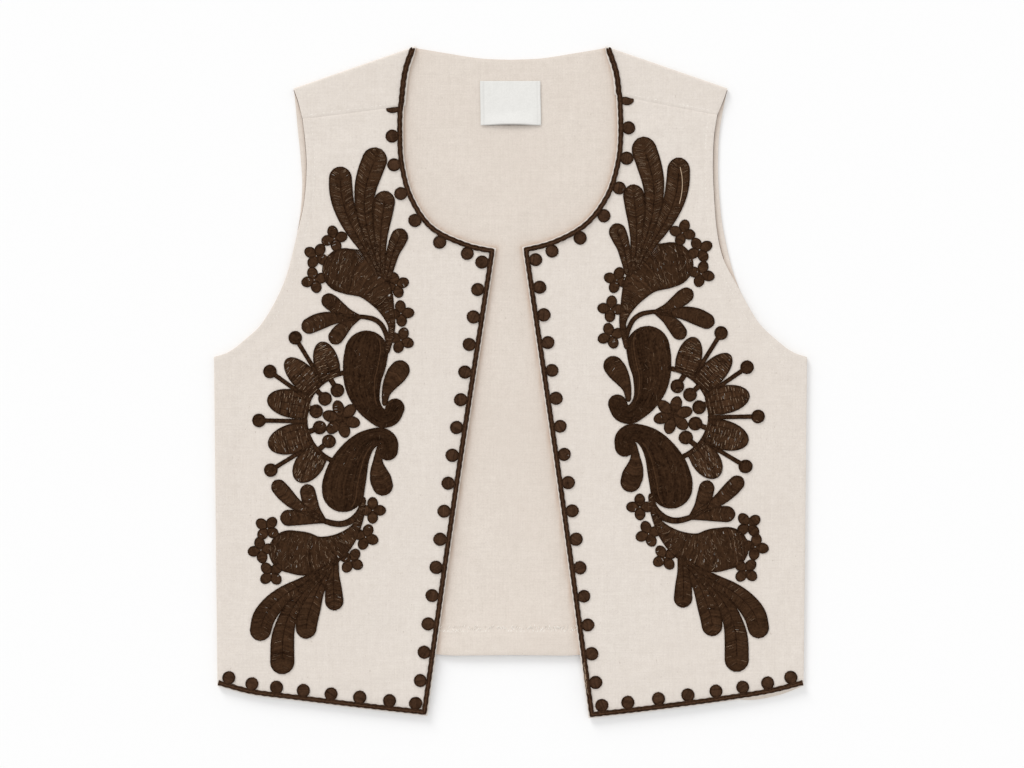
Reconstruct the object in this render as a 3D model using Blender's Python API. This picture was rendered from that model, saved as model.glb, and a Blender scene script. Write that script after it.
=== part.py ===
"""Sleeveless open-front waistcoat of linen with dark embroidery, laid flat on its back.

The floor is z = 0 and the neck is towards +Y. Left and right are the wearer's, so the left front is at +X.
Sizes are in millimetres from the centre line (across) and from just under the middle of the length (up).
"""

import math
from collections import namedtuple

import bpy
import numpy as np
from mathutils.geometry import delaunay_2d_cdt

MM = 0.001

# Cloth
CLOTH = 1.5
LAYER_GAP = 0.3
SEAM_GAP = 0.3
UPPER_LOW = CLOTH + LAYER_GAP
UPPER_HIGH = UPPER_LOW + CLOTH
FOLD_RADIUS = CLOTH + LAYER_GAP / 2
FOLD_STEPS = 4

# Soft rise of the fronts off the back, highest at the middle of each front
LIFT = 2.0
LIFT_ACROSS = 140.0
LIFT_UP = -60.0
LIFT_WIDTH = 70.0
LIFT_LENGTH = 150.0

# Outline of one half of the back
Place = namedtuple("Place", "across up")
NECK_BACK_CENTRE = Place(0.0, 260.0)
NECK_BACK = [NECK_BACK_CENTRE, Place(25.1, 261.2), Place(51.8, 265.3)]
NECK_YOKE_MIDDLE = Place(83.0, 250.0)
SHOULDER_NECK = Place(77.0, 271.0)
SHOULDER_TIP = Place(175.8, 236.8)
ARMHOLE_YOKE_MIDDLE = Place(171.8, 225.5)
SIDE_TOP = Place(240.0, 19.2)
SIDE_HEM = Place(237.2, -247.1)
ARMHOLE_LOW = [SIDE_TOP, Place(228.3, 23.3), Place(215.3, 33.0), Place(199.9, 48.4)]
ARMHOLE_BACK_MIDDLE = ARMHOLE_LOW + [Place(182.9, 80.7), Place(172.4, 122.0), Place(168.8, 154.4)]
ARMHOLE_BACK = {
    "left": ARMHOLE_BACK_MIDDLE + [Place(168.2, 180.3), Place(169.6, 204.0)],
    "right": ARMHOLE_BACK_MIDDLE + [Place(170.0, 180.3), Place(172.4, 204.0)],
}
HEM_BACK_MIDDLE = [Place(0.0, -222.0), Place(44.0, -222.4), Place(84.0, -223.0)]
HEM_BACK = {
    "left": HEM_BACK_MIDDLE + [Place(140.0, -247.0), Place(186.0, -258.2), Place(215.0, -255.2), SIDE_HEM],
    "right": HEM_BACK_MIDDLE + [Place(150.0, -246.0), Place(200.0, -251.0), SIDE_HEM],
}

# A row of dots starts at first and its pitch grows from dot to dot; inwards is from the cloth's edge
DotRow = namedtuple("DotRow", "first pitch grow inwards count")

# How a spray lies: drawn towards the front edge about its middle, raised, and stretched at its top
Lay = namedtuple("Lay", "drawn slant raised stretch bow")

# Each front: its side, its edges from corner to corner, its yoke seam, its dots and its spray
Front = namedtuple(
    "Front",
    "side neck edge_middle hem armhole seam_neck seam_armhole seam_dot "
    "neck_dots edge_dots hem_dots corner_dot lay",
)
FRONTS = {
    "left": Front(
        side=1,
        neck=[
            Place(9.3, 108.2),
            Place(34.0, 114.8),
            Place(59.0, 128.7),
            Place(75.9, 151.0),
            Place(84.0, 176.0),
            Place(86.4, 200.0),
        ],
        edge_middle=Place(37.2, -82.5),
        hem=[
            Place(63.3, -273.2),
            Place(100.0, -269.2),
            Place(145.3, -263.5),
            Place(177.7, -259.0),
            Place(210.0, -253.8),
            SIDE_HEM,
        ],
        armhole=ARMHOLE_LOW
        + [
            Place(183.5, 77.0),
            Place(172.5, 98.0),
            Place(167.6, 118.0),
            Place(165.2, 142.0),
            Place(163.9, 172.0),
            Place(164.7, 197.0),
        ],
        seam_neck=Place(85.4, 231.4),
        seam_armhole=Place(167.4, 215.2),
        seam_dot=5.2,
        neck_dots=DotRow(22.0, 23.05, 0.015, 9.1, 6),
        edge_dots=DotRow(11.7, 22.5, 0.035, 9.4, 16),
        hem_dots=DotRow(32.9, 25.6, -0.52, 9.4, 7),
        corner_dot=DotRow(9.0, 0.0, 0.0, 11.9, 1),
        lay=Lay(3.2, 0.033, 2.9, 0.006, 0.0005),
    ),
    "right": Front(
        side=-1,
        neck=[
            Place(11.6, 107.3),
            Place(35.2, 112.7),
            Place(62.1, 126.1),
            Place(78.2, 149.7),
            Place(85.3, 176.0),
            Place(86.7, 199.0),
        ],
        edge_middle=Place(40.5, -82.0),
        hem=[
            Place(67.3, -271.4),
            Place(112.9, -266.3),
            Place(145.3, -262.5),
            Place(177.7, -258.5),
            Place(210.0, -254.3),
            SIDE_HEM,
        ],
        armhole=ARMHOLE_LOW
        + [
            Place(182.9, 80.7),
            Place(172.0, 122.0),
            Place(167.0, 145.0),
            Place(165.0, 172.0),
            Place(166.0, 192.0),
        ],
        seam_neck=Place(86.2, 222.6),
        seam_armhole=Place(168.4, 212.0),
        seam_dot=3.8,
        neck_dots=DotRow(21.1, 22.7, -0.075, 9.1, 6),
        edge_dots=DotRow(12.9, 22.4, 0.027, 9.7, 16),
        hem_dots=DotRow(31.8, 24.7, -0.42, 9.0, 7),
        corner_dot=DotRow(8.9, 0.0, 0.0, 10.8, 1),
        lay=Lay(0.0, 0.0, 0.0, 0.0, 0.0),
    ),
}
MIDDLE_UP = (SHOULDER_NECK.up + FRONTS["left"].hem[0].up) / 2

# Cells of each panel
CURVE_STEPS = 16
FRONT_ROWS_BELOW_CORNER = 15
FRONT_ROWS_ABOVE_CORNER = 9
FRONT_ROWS_SIDE = 11
FRONT_COLUMNS = 6
BACK_ROWS_SIDE = 9
BACK_ROWS_ARMHOLE = 11
BACK_COLUMNS_NECK = 3
BACK_COLUMNS_SHOULDER = 3
YOKE_ROWS = 3

# Cord with dots along the front edges
CORD_WIDTH = 4.0
CORD_RIM = 0.9
CORD_HIGH = 1.2
DOT_RADIUS = 5.4
DOT_SIDES = 10
NECK_STEP = 11.0
EDGE_STEP = 45.0
HEM_STEP = 30.0
SHARPEST_MITRE = 0.2

# Embroidery
STITCH_HIGH = 0.9
STEPS_FOR_EACH_KNOT = 2
CAP_STEPS = 4
CELL = 26.0
CELL_CLEAR = 5.2
SHORTEST_EDGE = 0.6
SMALLEST_HOLE = 4.0
MEETING = 0.01

# Leaves, drops, paisleys and stems, each a stroke along its middle line
Knot = namedtuple("Knot", "across up half")
STROKES = {
    "upper_leaf_outer": [
        Knot(108, 88, 3.0),
        Knot(117, 105, 4.0),
        Knot(124.5, 118, 6.0),
        Knot(131, 131, 7.8),
        Knot(135.5, 144, 9.0),
        Knot(137.3, 155, 9.5),
        Knot(137.7, 164, 9.2),
    ],
    "upper_leaf_tall": [
        Knot(105, 88, 3.5),
        Knot(112, 108, 4.5),
        Knot(116.6, 126, 6.0),
        Knot(118.4, 142, 7.4),
        Knot(117.3, 156, 9.0),
        Knot(114, 168, 10.0),
        Knot(110, 178.6, 10.2),
    ],
    "upper_leaf_middle": [
        Knot(105, 88, 4.0),
        Knot(105.3, 108, 4.8),
        Knot(104.8, 122, 6.4),
        Knot(103.6, 134, 8.0),
        Knot(102, 145, 8.6),
    ],
    "upper_leaf_inner": [
        Knot(100, 84, 3.6),
        Knot(97.6, 94, 4.4),
        Knot(95, 104, 5.4),
        Knot(92.2, 111, 6.6),
        Knot(89.8, 116.3, 7.0),
    ],
    "upper_drop": [
        Knot(134.2, 89.2, 18.2),
        Knot(124, 86.5, 18.6),
        Knot(113, 79, 15.0),
        Knot(105, 68, 10.5),
        Knot(99.5, 56, 5.8),
        Knot(96.2, 44, 3.0),
        Knot(97.5, 33, 2.4),
        Knot(99.5, 24, 2.0),
    ],
    "upper_stem": [
        Knot(98.5, 30, 2.2),
        Knot(101, 38.5, 2.0),
        Knot(104.6, 45.5, 2.0),
        Knot(110.5, 49.8, 2.0),
        Knot(119, 51.6, 1.8),
        Knot(124, 51.6, 1.8),
    ],
    "upper_sprig_high": [
        Knot(122, 51.5, 1.8),
        Knot(131, 54.5, 3.6),
        Knot(139, 59, 5.6),
        Knot(144, 62.6, 6.4),
        Knot(146.8, 64.6, 6.2),
    ],
    "upper_sprig_middle": [
        Knot(122, 51.5, 1.8),
        Knot(132, 51, 3.0),
        Knot(141, 50.8, 4.6),
        Knot(149, 49.6, 6.2),
        Knot(156.5, 47.2, 6.9),
        Knot(162.6, 44.4, 6.5),
    ],
    "upper_sprig_low": [
        Knot(123, 51, 2.0),
        Knot(131, 46.5, 4.2),
        Knot(137.5, 40.2, 6.0),
        Knot(141.2, 35.4, 6.2),
    ],
    "upper_paisley": [
        Knot(116.5, 23, 17.6),
        Knot(118.2, 13, 17.4),
        Knot(119.6, 2, 15.6),
        Knot(118.5, -9, 13.4),
        Knot(114.8, -19.5, 10.2),
        Knot(109, -27, 8.0),
        Knot(103, -30.5, 7.7),
        Knot(96.5, -28.5, 7.6),
        Knot(93.3, -22, 7.6),
    ],
    "upper_seed": [
        Knot(89.5, 8.6, 8.0),
        Knot(93, 4, 8.0),
        Knot(97.5, -3, 6.0),
        Knot(100.6, -10, 3.6),
        Knot(101.8, -18, 2.2),
    ],
    "lower_paisley": [
        Knot(135.2, -89, 17.2),
        Knot(134.8, -84, 17.4),
        Knot(131.5, -72, 16.2),
        Knot(126, -60, 13.0),
        Knot(119, -51, 10.0),
        Knot(111, -46, 7.6),
        Knot(104, -45.8, 7.8),
        Knot(99.5, -50, 8.4),
        Knot(99.2, -56.2, 8.2),
    ],
    "lower_seed": [
        Knot(103.4, -84.6, 8.3),
        Knot(105.4, -79, 8.8),
        Knot(108, -72, 7.0),
        Knot(109.6, -65, 4.2),
        Knot(109.5, -53, 2.4),
    ],
    "lower_stem": [
        Knot(153, -112.5, 2.2),
        Knot(144, -115.2, 2.4),
        Knot(137, -115.8, 2.5),
        Knot(130.5, -114, 2.7),
        Knot(125, -110, 2.8),
        Knot(121, -104, 2.6),
        Knot(119, -96, 2.0),
    ],
    "lower_drop": [
        Knot(178.4, -138, 17.2),
        Knot(166, -140, 17.6),
        Knot(153, -139.6, 14.2),
        Knot(141, -134.5, 10.6),
        Knot(131.5, -127, 7.0),
        Knot(124.5, -118, 3.8),
        Knot(120.5, -108, 2.4),
        Knot(118.8, -97, 2.0),
    ],
    "lower_sprig_high": [
        Knot(152, -112, 2.4),
        Knot(160, -107.8, 2.8),
        Knot(168, -103.5, 3.8),
        Knot(176, -98, 5.4),
        Knot(183, -91, 6.4),
        Knot(187.4, -86, 6.2),
    ],
    "lower_sprig_middle": [
        Knot(152, -112, 2.6),
        Knot(158.5, -105, 5.0),
        Knot(162, -98, 6.3),
        Knot(164, -90, 6.3),
    ],
    "lower_sprig_low": [
        Knot(152, -113, 2.4),
        Knot(161, -111.5, 4.6),
        Knot(170, -110.8, 6.0),
        Knot(179.6, -110.9, 6.6),
    ],
    "lower_leaf_outer": [
        Knot(145, -149, 3.0),
        Knot(157, -158.5, 4.6),
        Knot(170, -166.5, 6.4),
        Knot(182, -173.5, 7.8),
        Knot(192, -181.5, 8.8),
        Knot(199.5, -191.5, 9.2),
        Knot(202.3, -201.8, 8.6),
    ],
    "lower_leaf_tall": [
        Knot(145.5, -149, 3.0),
        Knot(158, -161, 4.4),
        Knot(169, -173, 5.8),
        Knot(177.5, -185, 7.2),
        Knot(182.4, -197.5, 8.4),
        Knot(184.6, -210, 9.6),
        Knot(184.7, -227.6, 9.8),
    ],
    "lower_leaf_middle": [
        Knot(146, -149.5, 3.0),
        Knot(151.5, -160, 4.4),
        Knot(157, -171, 6.2),
        Knot(161.5, -183, 8.2),
        Knot(164.4, -193, 8.8),
        Knot(165.3, -200.2, 8.4),
    ],
    "lower_leaf_inner": [
        Knot(142.6, -147, 3.8),
        Knot(143.2, -157, 4.8),
        Knot(143.2, -167, 6.6),
        Knot(142.6, -178.2, 7.5),
    ],
}

# Flowers with a ring of oval petals; extra is how much nearer the edge each is drawn with its spray
Spot = namedtuple("Spot", "across up turn extra")
Bloom = namedtuple("Bloom", "petals reach petal_long petal_wide heart")
SMALL_BLOOM = Bloom(4, 10.4, 9.2, 7.4, 3.4)
LARGE_BLOOM = Bloom(6, 15.6, 12.6, 8.6, 4.4)
OVAL_SIDES = 8
FLOWERS = [
    Spot(142.5, 115, 76, 0.0),
    Spot(157, 101, 30, 0.0),
    Spot(158.7, 81.5, 75, 0.0),
    Spot(92.6, 77.5, 72, 0.7),
    Spot(88.6, 54.4, 85, 0.7),
    Spot(88.6, 32.8, 20, 0.5),
    Spot(196.8, -119.4, 38, 0.2),
    Spot(202.0, -137.0, 80, 0.4),
    Spot(193.6, -156, 48, 0.2),
    Spot(111.5, -104.8, 90, 0.4),
    Spot(117.2, -126.4, 20, 0.2),
    Spot(129, -145.5, 32, 0.0),
]
ROSETTE = Spot(136.8, -31.0, 15, 0.0)

# Half daisy: its petals and stamens stand on a ring, and knobs stand inside it
RING = Place(129.0, -30.5)
RING_RADIUS = 37.3
RING_HALF = 2.0
RING_FROM = -66.0
RING_TO = 81.0
RING_STEPS = 14
Petal = namedtuple("Petal", "across up tip_across tip_up width")
PETALS = [
    Petal(145.5, 2, 153.5, 31.5, 20.4),
    Petal(157.5, -8, 181.5, 17.5, 20.0),
    Petal(162.5, -21.5, 196.8, -14.5, 23.0),
    Petal(162.5, -43, 196, -52.5, 24.0),
    Petal(155.5, -58, 173, -81, 22.5),
]
PETAL_FOOT = 0.82
PETAL_WIDENING = 0.6
PETAL_ROUND_FROM = 0.42
PETAL_STEPS = 8
Span = namedtuple("Span", "across up tip_across tip_up")
STAMENS = [
    Span(153.5, 1, 174.1, 34.8),
    Span(163, -15, 194.6, 7.5),
    Span(166, -32.8, 203.5, -32.1),
    Span(164, -54, 193.9, -72.3),
]
STAMEN_HALF = 1.9
STAMEN_HEAD = 5.6
KNOBS = [
    Span(146, 2, 140, -7.8),
    Span(157.5, -7, 150, -14.6),
    Span(164, -21.5, 157.2, -24.7),
    Span(163.5, -41.5, 154.3, -37.8),
    Span(155.5, -56, 146.8, -49),
]
KNOB_NECK = 2.3
KNOB_HEAD = 5.7
HEAD_SIDES = 8

# Where the sprays are drawn and stretched from
DRAWN_FROM = 180.0
DRAWN_UP = -45.0
DRAWN_REACH = 160.0
BOW_FROM = 90.0

# Label inside the back of the neck
LABEL_WIDTH = 49.0
LABEL_HEIGHT = 36.0
LABEL_THICK = 1.0
LABEL_UP = 224.8

# Finishes
Finish = namedtuple("Finish", "name colour roughness")
LINEN = Finish("linen", (0.77, 0.70, 0.64), 0.9)
LINEN_INSIDE = Finish("linen_inside", (0.75, 0.68, 0.61), 0.92)
EMBROIDERY_THREAD = Finish("embroidery_thread", (0.045, 0.022, 0.012), 0.5)
CORD_THREAD = Finish("cord_thread", (0.045, 0.022, 0.012), 0.55)
WOVEN_LABEL = Finish("woven_label", (0.80, 0.80, 0.79), 0.7)


def clear_scene():
    for item in list(bpy.data.objects):
        bpy.data.objects.remove(item, do_unlink=True)


def material(finish):
    """A plain material for one object."""
    made = bpy.data.materials.new(finish.name)
    made.use_nodes = True
    shader = made.node_tree.nodes["Principled BSDF"]
    shader.inputs["Base Color"].default_value = (*finish.colour, 1.0)
    shader.inputs["Roughness"].default_value = finish.roughness
    shader.inputs["Metallic"].default_value = 0.0
    return made


def smooth_line(knots, steps):
    """Points along a soft curve through the knots, evenly spaced, one more than steps."""
    knots = np.array(knots, float)
    ends = np.vstack([2 * knots[0] - knots[1], knots, 2 * knots[-1] - knots[-2]])
    t = np.linspace(0.0, 1.0, CURVE_STEPS, endpoint=False)[:, None]
    fine = []
    for before, start, end, after in zip(ends, ends[1:], ends[2:], ends[3:]):
        level = 2 * start + (end - before) * t
        bend = (2 * before - 5 * start + 4 * end - after) * t**2
        twist = (3 * start - before - 3 * end + after) * t**3
        fine.append((level + bend + twist) / 2)
    return evenly(np.vstack(fine + [knots[-1:]]), steps)


def evenly(line, steps):
    """The same line with evenly spaced points."""
    length = run_of(line)
    at = np.linspace(0.0, length[-1], steps + 1)
    return np.column_stack([np.interp(at, length, line[:, k]) for k in range(line.shape[1])])


def straight(start, end, steps):
    """Evenly spaced points from one place to another."""
    return evenly(np.array([start, end]), steps)


def run_of(line):
    """Distance along the line at each of its points."""
    steps = np.linalg.norm(np.diff(line[:, :2], axis=0), axis=1)
    return np.concatenate([[0.0], np.cumsum(steps)])


def chain(*lines):
    """Lines joined end to end, with each shared point once."""
    return np.vstack([lines[0]] + [line[1:] for line in lines[1:]])


def lift(across, up):
    """Height that a front rises off the back at a place."""
    away = (across - LIFT_ACROSS) / LIFT_WIDTH
    along = (up - LIFT_UP) / LIFT_LENGTH
    return LIFT * np.exp(-(away**2) - along**2)


def patch(bottom, top, inner, outer):
    """Rows of points that fill four edges, the first row along the bottom."""
    u = np.linspace(0.0, 1.0, len(bottom))[None, :, None]
    v = np.linspace(0.0, 1.0, len(inner))[:, None, None]
    sides = (1 - u) * inner[:, None] + u * outer[:, None]
    ends = (1 - v) * bottom[None] + v * top[None]
    corners = (1 - v) * ((1 - u) * bottom[0] + u * bottom[-1])
    corners = corners + v * ((1 - u) * top[0] + u * top[-1])
    return sides + ends - corners


def sheet(name, faces, inner, outer, finish):
    """A closed wall between two sets of points that share their faces."""
    count = len(inner)
    edges = set()
    for face in faces:
        edges.update(zip(face, face[1:] + face[:1]))
    rim = sorted((start, end) for start, end in edges if (end, start) not in edges)
    built = [tuple(face) for face in faces]
    built += [tuple(count + corner for corner in reversed(face)) for face in faces]
    built += [(end, start, count + start, count + end) for start, end in rim]
    points = np.vstack([inner, outer]) - [0.0, MIDDLE_UP, 0.0]
    if volume_of(points, built) < 0:
        built = [tuple(reversed(face)) for face in built]
    mesh = bpy.data.meshes.new(name)
    mesh.from_pydata((points * MM).tolist(), [], built)
    mesh.validate()
    mesh.update()
    made = bpy.data.objects.new(name, mesh)
    made.data.materials.append(finish)
    bpy.context.scene.collection.objects.link(made)
    return made


def volume_of(points, faces):
    """Six times the signed volume."""
    total = 0.0
    for face in faces:
        for second, third in zip(face[1:], face[2:]):
            total += float(np.dot(points[face[0]], np.cross(points[second], points[third])))
    return total


def quads(rows, columns):
    """Faces of a grid whose points are counted row by row."""
    found = []
    for row in range(rows):
        for column in range(columns):
            corner = row * (columns + 1) + column
            found.append([corner, corner + 1, corner + columns + 2, corner + columns + 1])
    return found


def side_and_armhole(armhole, side_rows, armhole_rows):
    return chain(straight(SIDE_HEM, SIDE_TOP, side_rows), smooth_line(armhole, armhole_rows))


def front_edge(front, steps):
    return smooth_line([front.hem[0], front.edge_middle, front.neck[0]], steps)


def front_panel(word, finish):
    """A front from the hem to the yoke seam."""
    front = FRONTS[word]
    rows = FRONT_ROWS_BELOW_CORNER + FRONT_ROWS_ABOVE_CORNER
    neck = smooth_line(front.neck + [front.seam_neck], FRONT_ROWS_ABOVE_CORNER)
    inner = chain(front_edge(front, FRONT_ROWS_BELOW_CORNER), neck)
    outer = side_and_armhole(front.armhole + [front.seam_armhole], FRONT_ROWS_SIDE, rows - FRONT_ROWS_SIDE)
    bottom = smooth_line(front.hem, FRONT_COLUMNS)
    top = straight(front.seam_neck, front.seam_armhole, FRONT_COLUMNS)
    flat = patch(bottom, top, inner, outer).reshape(-1, 2)
    rise = lift(flat[:, 0], flat[:, 1])
    plan = flat * [front.side, 1.0]
    low = np.column_stack([plan, UPPER_LOW + rise])
    high = np.column_stack([plan, UPPER_HIGH + rise])
    return sheet("front_" + word, quads(rows, FRONT_COLUMNS), low, high, finish)


def shoulder_frame():
    """Where the lower layer ends along the shoulder, and the way out from there to the fold."""
    neck = np.array(SHOULDER_NECK)
    tip = np.array(SHOULDER_TIP)
    along = (tip - neck) / np.linalg.norm(tip - neck)
    out = np.array([-along[1], along[0]])
    return straight(neck, tip, BACK_COLUMNS_SHOULDER) - out * FOLD_RADIUS, out


def back_half(word):
    """Lower layer of one half of the back, from the centre line outwards."""
    hem = HEM_BACK[word]
    rows = BACK_ROWS_SIDE + BACK_ROWS_ARMHOLE
    columns = BACK_COLUMNS_NECK + BACK_COLUMNS_SHOULDER
    shoulder, _ = shoulder_frame()
    neck = smooth_line(NECK_BACK + [Place(*shoulder[0])], BACK_COLUMNS_NECK)
    armhole = ARMHOLE_BACK[word] + [Place(*shoulder[-1])]
    outer = side_and_armhole(armhole, BACK_ROWS_SIDE, BACK_ROWS_ARMHOLE)
    inner = straight(hem[0], NECK_BACK_CENTRE, rows)
    return patch(smooth_line(hem, columns), chain(neck, shoulder), inner, outer)


def yoke_rows(front):
    """The shoulder fold and the part in front of it, as rows of inner and outer points."""
    shoulder, out = shoulder_frame()
    rows = []
    for step in range(1, FOLD_STEPS + 1):
        turn = math.pi * step / FOLD_STEPS
        pair = []
        for radius in (LAYER_GAP / 2, FOLD_RADIUS):
            height = np.full(len(shoulder), FOLD_RADIUS - radius * math.cos(turn))
            pair.append(np.column_stack([shoulder + out * radius * math.sin(turn), height]))
        rows.append(tuple(pair))
    seam = straight(front.seam_neck, front.seam_armhole, BACK_COLUMNS_SHOULDER) + [0.0, SEAM_GAP]
    neck = smooth_line([shoulder[0], NECK_YOKE_MIDDLE, seam[0]], YOKE_ROWS)
    armhole = smooth_line([shoulder[-1], ARMHOLE_YOKE_MIDDLE, seam[-1]], YOKE_ROWS)
    flat = patch(shoulder, seam, neck, armhole)
    for line in flat[1:]:
        rise = lift(line[:, 0], line[:, 1])
        rows.append(tuple(np.column_stack([line, base + rise]) for base in (UPPER_LOW, UPPER_HIGH)))
    mirror = [front.side, 1.0, 1.0]
    return [(inner * mirror, outer * mirror) for inner, outer in rows]


def back_panel(finish):
    """The back in one piece, folded over both shoulders to the yoke seams."""
    left = back_half("left")
    right = back_half("right") * [-1.0, 1.0]
    flat = np.concatenate([right[:, :0:-1], left], axis=1)
    rows = len(flat) - 1
    columns = flat.shape[1] - 1
    plan = flat.reshape(-1, 2)
    inner = [np.column_stack([plan, np.full(len(plan), CLOTH)])]
    outer = [np.column_stack([plan, np.zeros(len(plan))])]
    faces = quads(rows, columns)
    count = len(plan)
    first_top = rows * (columns + 1)
    for front in FRONTS.values():
        side = front.side
        tip = first_top + (columns if side == 1 else 0)
        neck = tip - side * BACK_COLUMNS_SHOULDER
        below = list(range(neck, tip + side, side))
        for row_inner, row_outer in yoke_rows(front):
            inner.append(row_inner)
            outer.append(row_outer)
            above = list(range(count, count + len(below)))
            count += len(above)
            for k in range(BACK_COLUMNS_SHOULDER):
                face = [below[k], below[k + 1], above[k + 1], above[k]]
                faces.append(face if side == 1 else face[::-1])
            below = above
    return sheet("back", faces, np.vstack(inner), np.vstack(outer), finish)


def sideways(line):
    """Unit vectors to the left of the line at each point."""
    ahead = np.gradient(line[:, :2], axis=0)
    ahead /= np.linalg.norm(ahead, axis=1)[:, None]
    return np.column_stack([-ahead[:, 1], ahead[:, 0]])


def arc(middle, radius, start, end, steps):
    """Points on an arc, angles in degrees."""
    turn = np.radians(np.linspace(start, end, steps + 1))
    return np.column_stack([middle[0] + radius * np.cos(turn), middle[1] + radius * np.sin(turn)])


def disc(middle, radius, sides):
    return arc(middle, radius, 0.0, 360.0, sides)[:-1]


def oval(middle, way, long, wide, sides):
    """An oval whose length runs along a unit vector."""
    round_points = disc((0.0, 0.0), 0.5, sides)
    beside = np.array([-way[1], way[0]])
    return middle + np.outer(round_points[:, 0] * long, way) + np.outer(round_points[:, 1] * wide, beside)


def stroke_outline(knots):
    """A stroke of changing width along a soft spine, with round ends."""
    line = smooth_line(knots, STEPS_FOR_EACH_KNOT * len(knots))
    left = sideways(line)
    half = line[:, 2:3]
    spine = line[:, :2]
    end_turn = math.degrees(math.atan2(left[-1, 1], left[-1, 0])) + 180.0
    start_turn = math.degrees(math.atan2(left[0, 1], left[0, 0]))
    end_cap = arc(spine[-1], half[-1, 0], end_turn, end_turn + 180.0, CAP_STEPS)[1:-1]
    start_cap = arc(spine[0], half[0, 0], start_turn, start_turn + 180.0, CAP_STEPS)[1:-1]
    return np.vstack([spine - left * half, end_cap, (spine + left * half)[::-1], start_cap])


def band_outline(line, low, high):
    """The strip between two distances to the left of a line, with mitred corners."""
    edge = np.diff(line, axis=0)
    edge /= np.linalg.norm(edge, axis=1)[:, None]
    edge = np.vstack([edge[:1], edge, edge[-1:]])
    normal = np.column_stack([-edge[:, 1], edge[:, 0]])
    both = normal[:-1] + normal[1:]
    left = both / np.maximum((both * both).sum(1) / 2, SHARPEST_MITRE)[:, None]
    return np.vstack([line + left * low, (line + left * high)[::-1]])


def bloom_outlines(spot, bloom, drawn):
    """A ring of oval petals round a heart, drawn towards the front edge."""
    middle = np.array([spot.across - spot.extra * drawn, spot.up])
    found = [disc(middle, bloom.heart, OVAL_SIDES)]
    for k in range(bloom.petals):
        turn = math.radians(spot.turn) + 2 * math.pi * k / bloom.petals
        way = np.array([math.cos(turn), math.sin(turn)])
        petal = middle + way * (bloom.reach - bloom.petal_long / 2)
        found.append(oval(petal, way, bloom.petal_long, bloom.petal_wide, OVAL_SIDES))
    return found


def petal_outline(petal):
    """A broad petal that widens from its foot to a rounded end."""
    root = np.array([petal.across, petal.up], float)
    run = np.array([petal.tip_across, petal.tip_up]) - root
    beside = np.array([-run[1], run[0]]) / np.linalg.norm(run)
    share = np.sin(np.linspace(0.0, math.pi / 2, PETAL_STEPS + 1))
    closing = np.clip((share - PETAL_ROUND_FROM) / (1 - PETAL_ROUND_FROM), 0.0, 1.0)
    half = np.minimum(PETAL_FOOT + PETAL_WIDENING * share, 1.0) * np.sqrt(1 - closing**2)
    spine = root + np.outer(share, run)
    side = np.outer(half * petal.width / 2, beside)
    return np.vstack([spine - side, (spine + side)[-2::-1]])


def pin_outlines(span, half, head):
    """A thin stem with a round head."""
    foot = np.array([span.across, span.up], float)
    tip = np.array([span.tip_across, span.tip_up], float)
    return [band_outline(np.array([foot, tip]), -half, half), disc(tip, head, HEAD_SIDES)]


def embroidery_outlines(lay):
    """All the motifs of one spray, where they lie on their front."""
    found = [stroke_outline(knots) for knots in STROKES.values()]
    for spot in FLOWERS:
        found += bloom_outlines(spot, SMALL_BLOOM, lay.drawn)
    found += bloom_outlines(ROSETTE, LARGE_BLOOM, lay.drawn)
    ring = arc(RING, RING_RADIUS, RING_FROM, RING_TO, RING_STEPS)
    found.append(band_outline(ring, -RING_HALF, RING_HALF))
    found += [petal_outline(petal) for petal in PETALS]
    for span in STAMENS:
        found += pin_outlines(span, STAMEN_HALF, STAMEN_HEAD)
    for span in KNOBS:
        found += pin_outlines(span, KNOB_NECK, KNOB_HEAD)
    return [laid(outline, lay) for outline in found]


def laid(outline, lay):
    """The outline where it lies on one front."""
    across = outline[:, 0]
    up = outline[:, 1]
    drawn = lay.drawn + lay.slant * (DRAWN_FROM - across)
    drawn = drawn * np.exp(-(((up - DRAWN_UP) / DRAWN_REACH) ** 2))
    raised = lay.raised + lay.stretch * up + lay.bow * np.maximum(up - BOW_FROM, 0.0) ** 2
    return np.column_stack([across - drawn, up + raised])


def front_chain(front):
    """Edge of a front from the side of the hem round to the shoulder fold."""
    shoulder, _ = shoulder_frame()
    neck = front.neck + [front.seam_neck, NECK_YOKE_MIDDLE, Place(*shoulder[0])]
    hem = smooth_line(front.hem[::-1], round(curve_length(front.hem) / HEM_STEP))
    edge = front_edge(front, round(curve_length([front.hem[0], front.neck[0]]) / EDGE_STEP))
    return hem, edge, smooth_line(neck, round(curve_length(neck) / NECK_STEP))


def curve_length(knots):
    return run_of(np.array(knots, float))[-1]


def place_along(line, distance, inwards):
    """A place beside a line, at a distance along it and to the right of it."""
    length = run_of(line)
    at = [distance - 1.0, distance, distance + 1.0]
    behind, point, ahead = np.column_stack([np.interp(at, length, line[:, k]) for k in range(2)])
    way = (ahead - behind) / np.linalg.norm(ahead - behind)
    return point + np.array([way[1], -way[0]]) * inwards


def seam_dot(front):
    """The part of a dot that shows below the yoke seam."""
    start = np.array(front.seam_neck)
    along = np.array(front.seam_armhole) - start
    along /= np.linalg.norm(along)
    down = np.array([along[1], -along[0]])
    turn = np.linspace(0.0, math.pi, DOT_SIDES // 2 + 1)
    across = np.outer(front.neck_dots.inwards - DOT_RADIUS * np.cos(turn), along)
    return start + across + np.outer(front.seam_dot * np.sin(turn), down)


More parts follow.
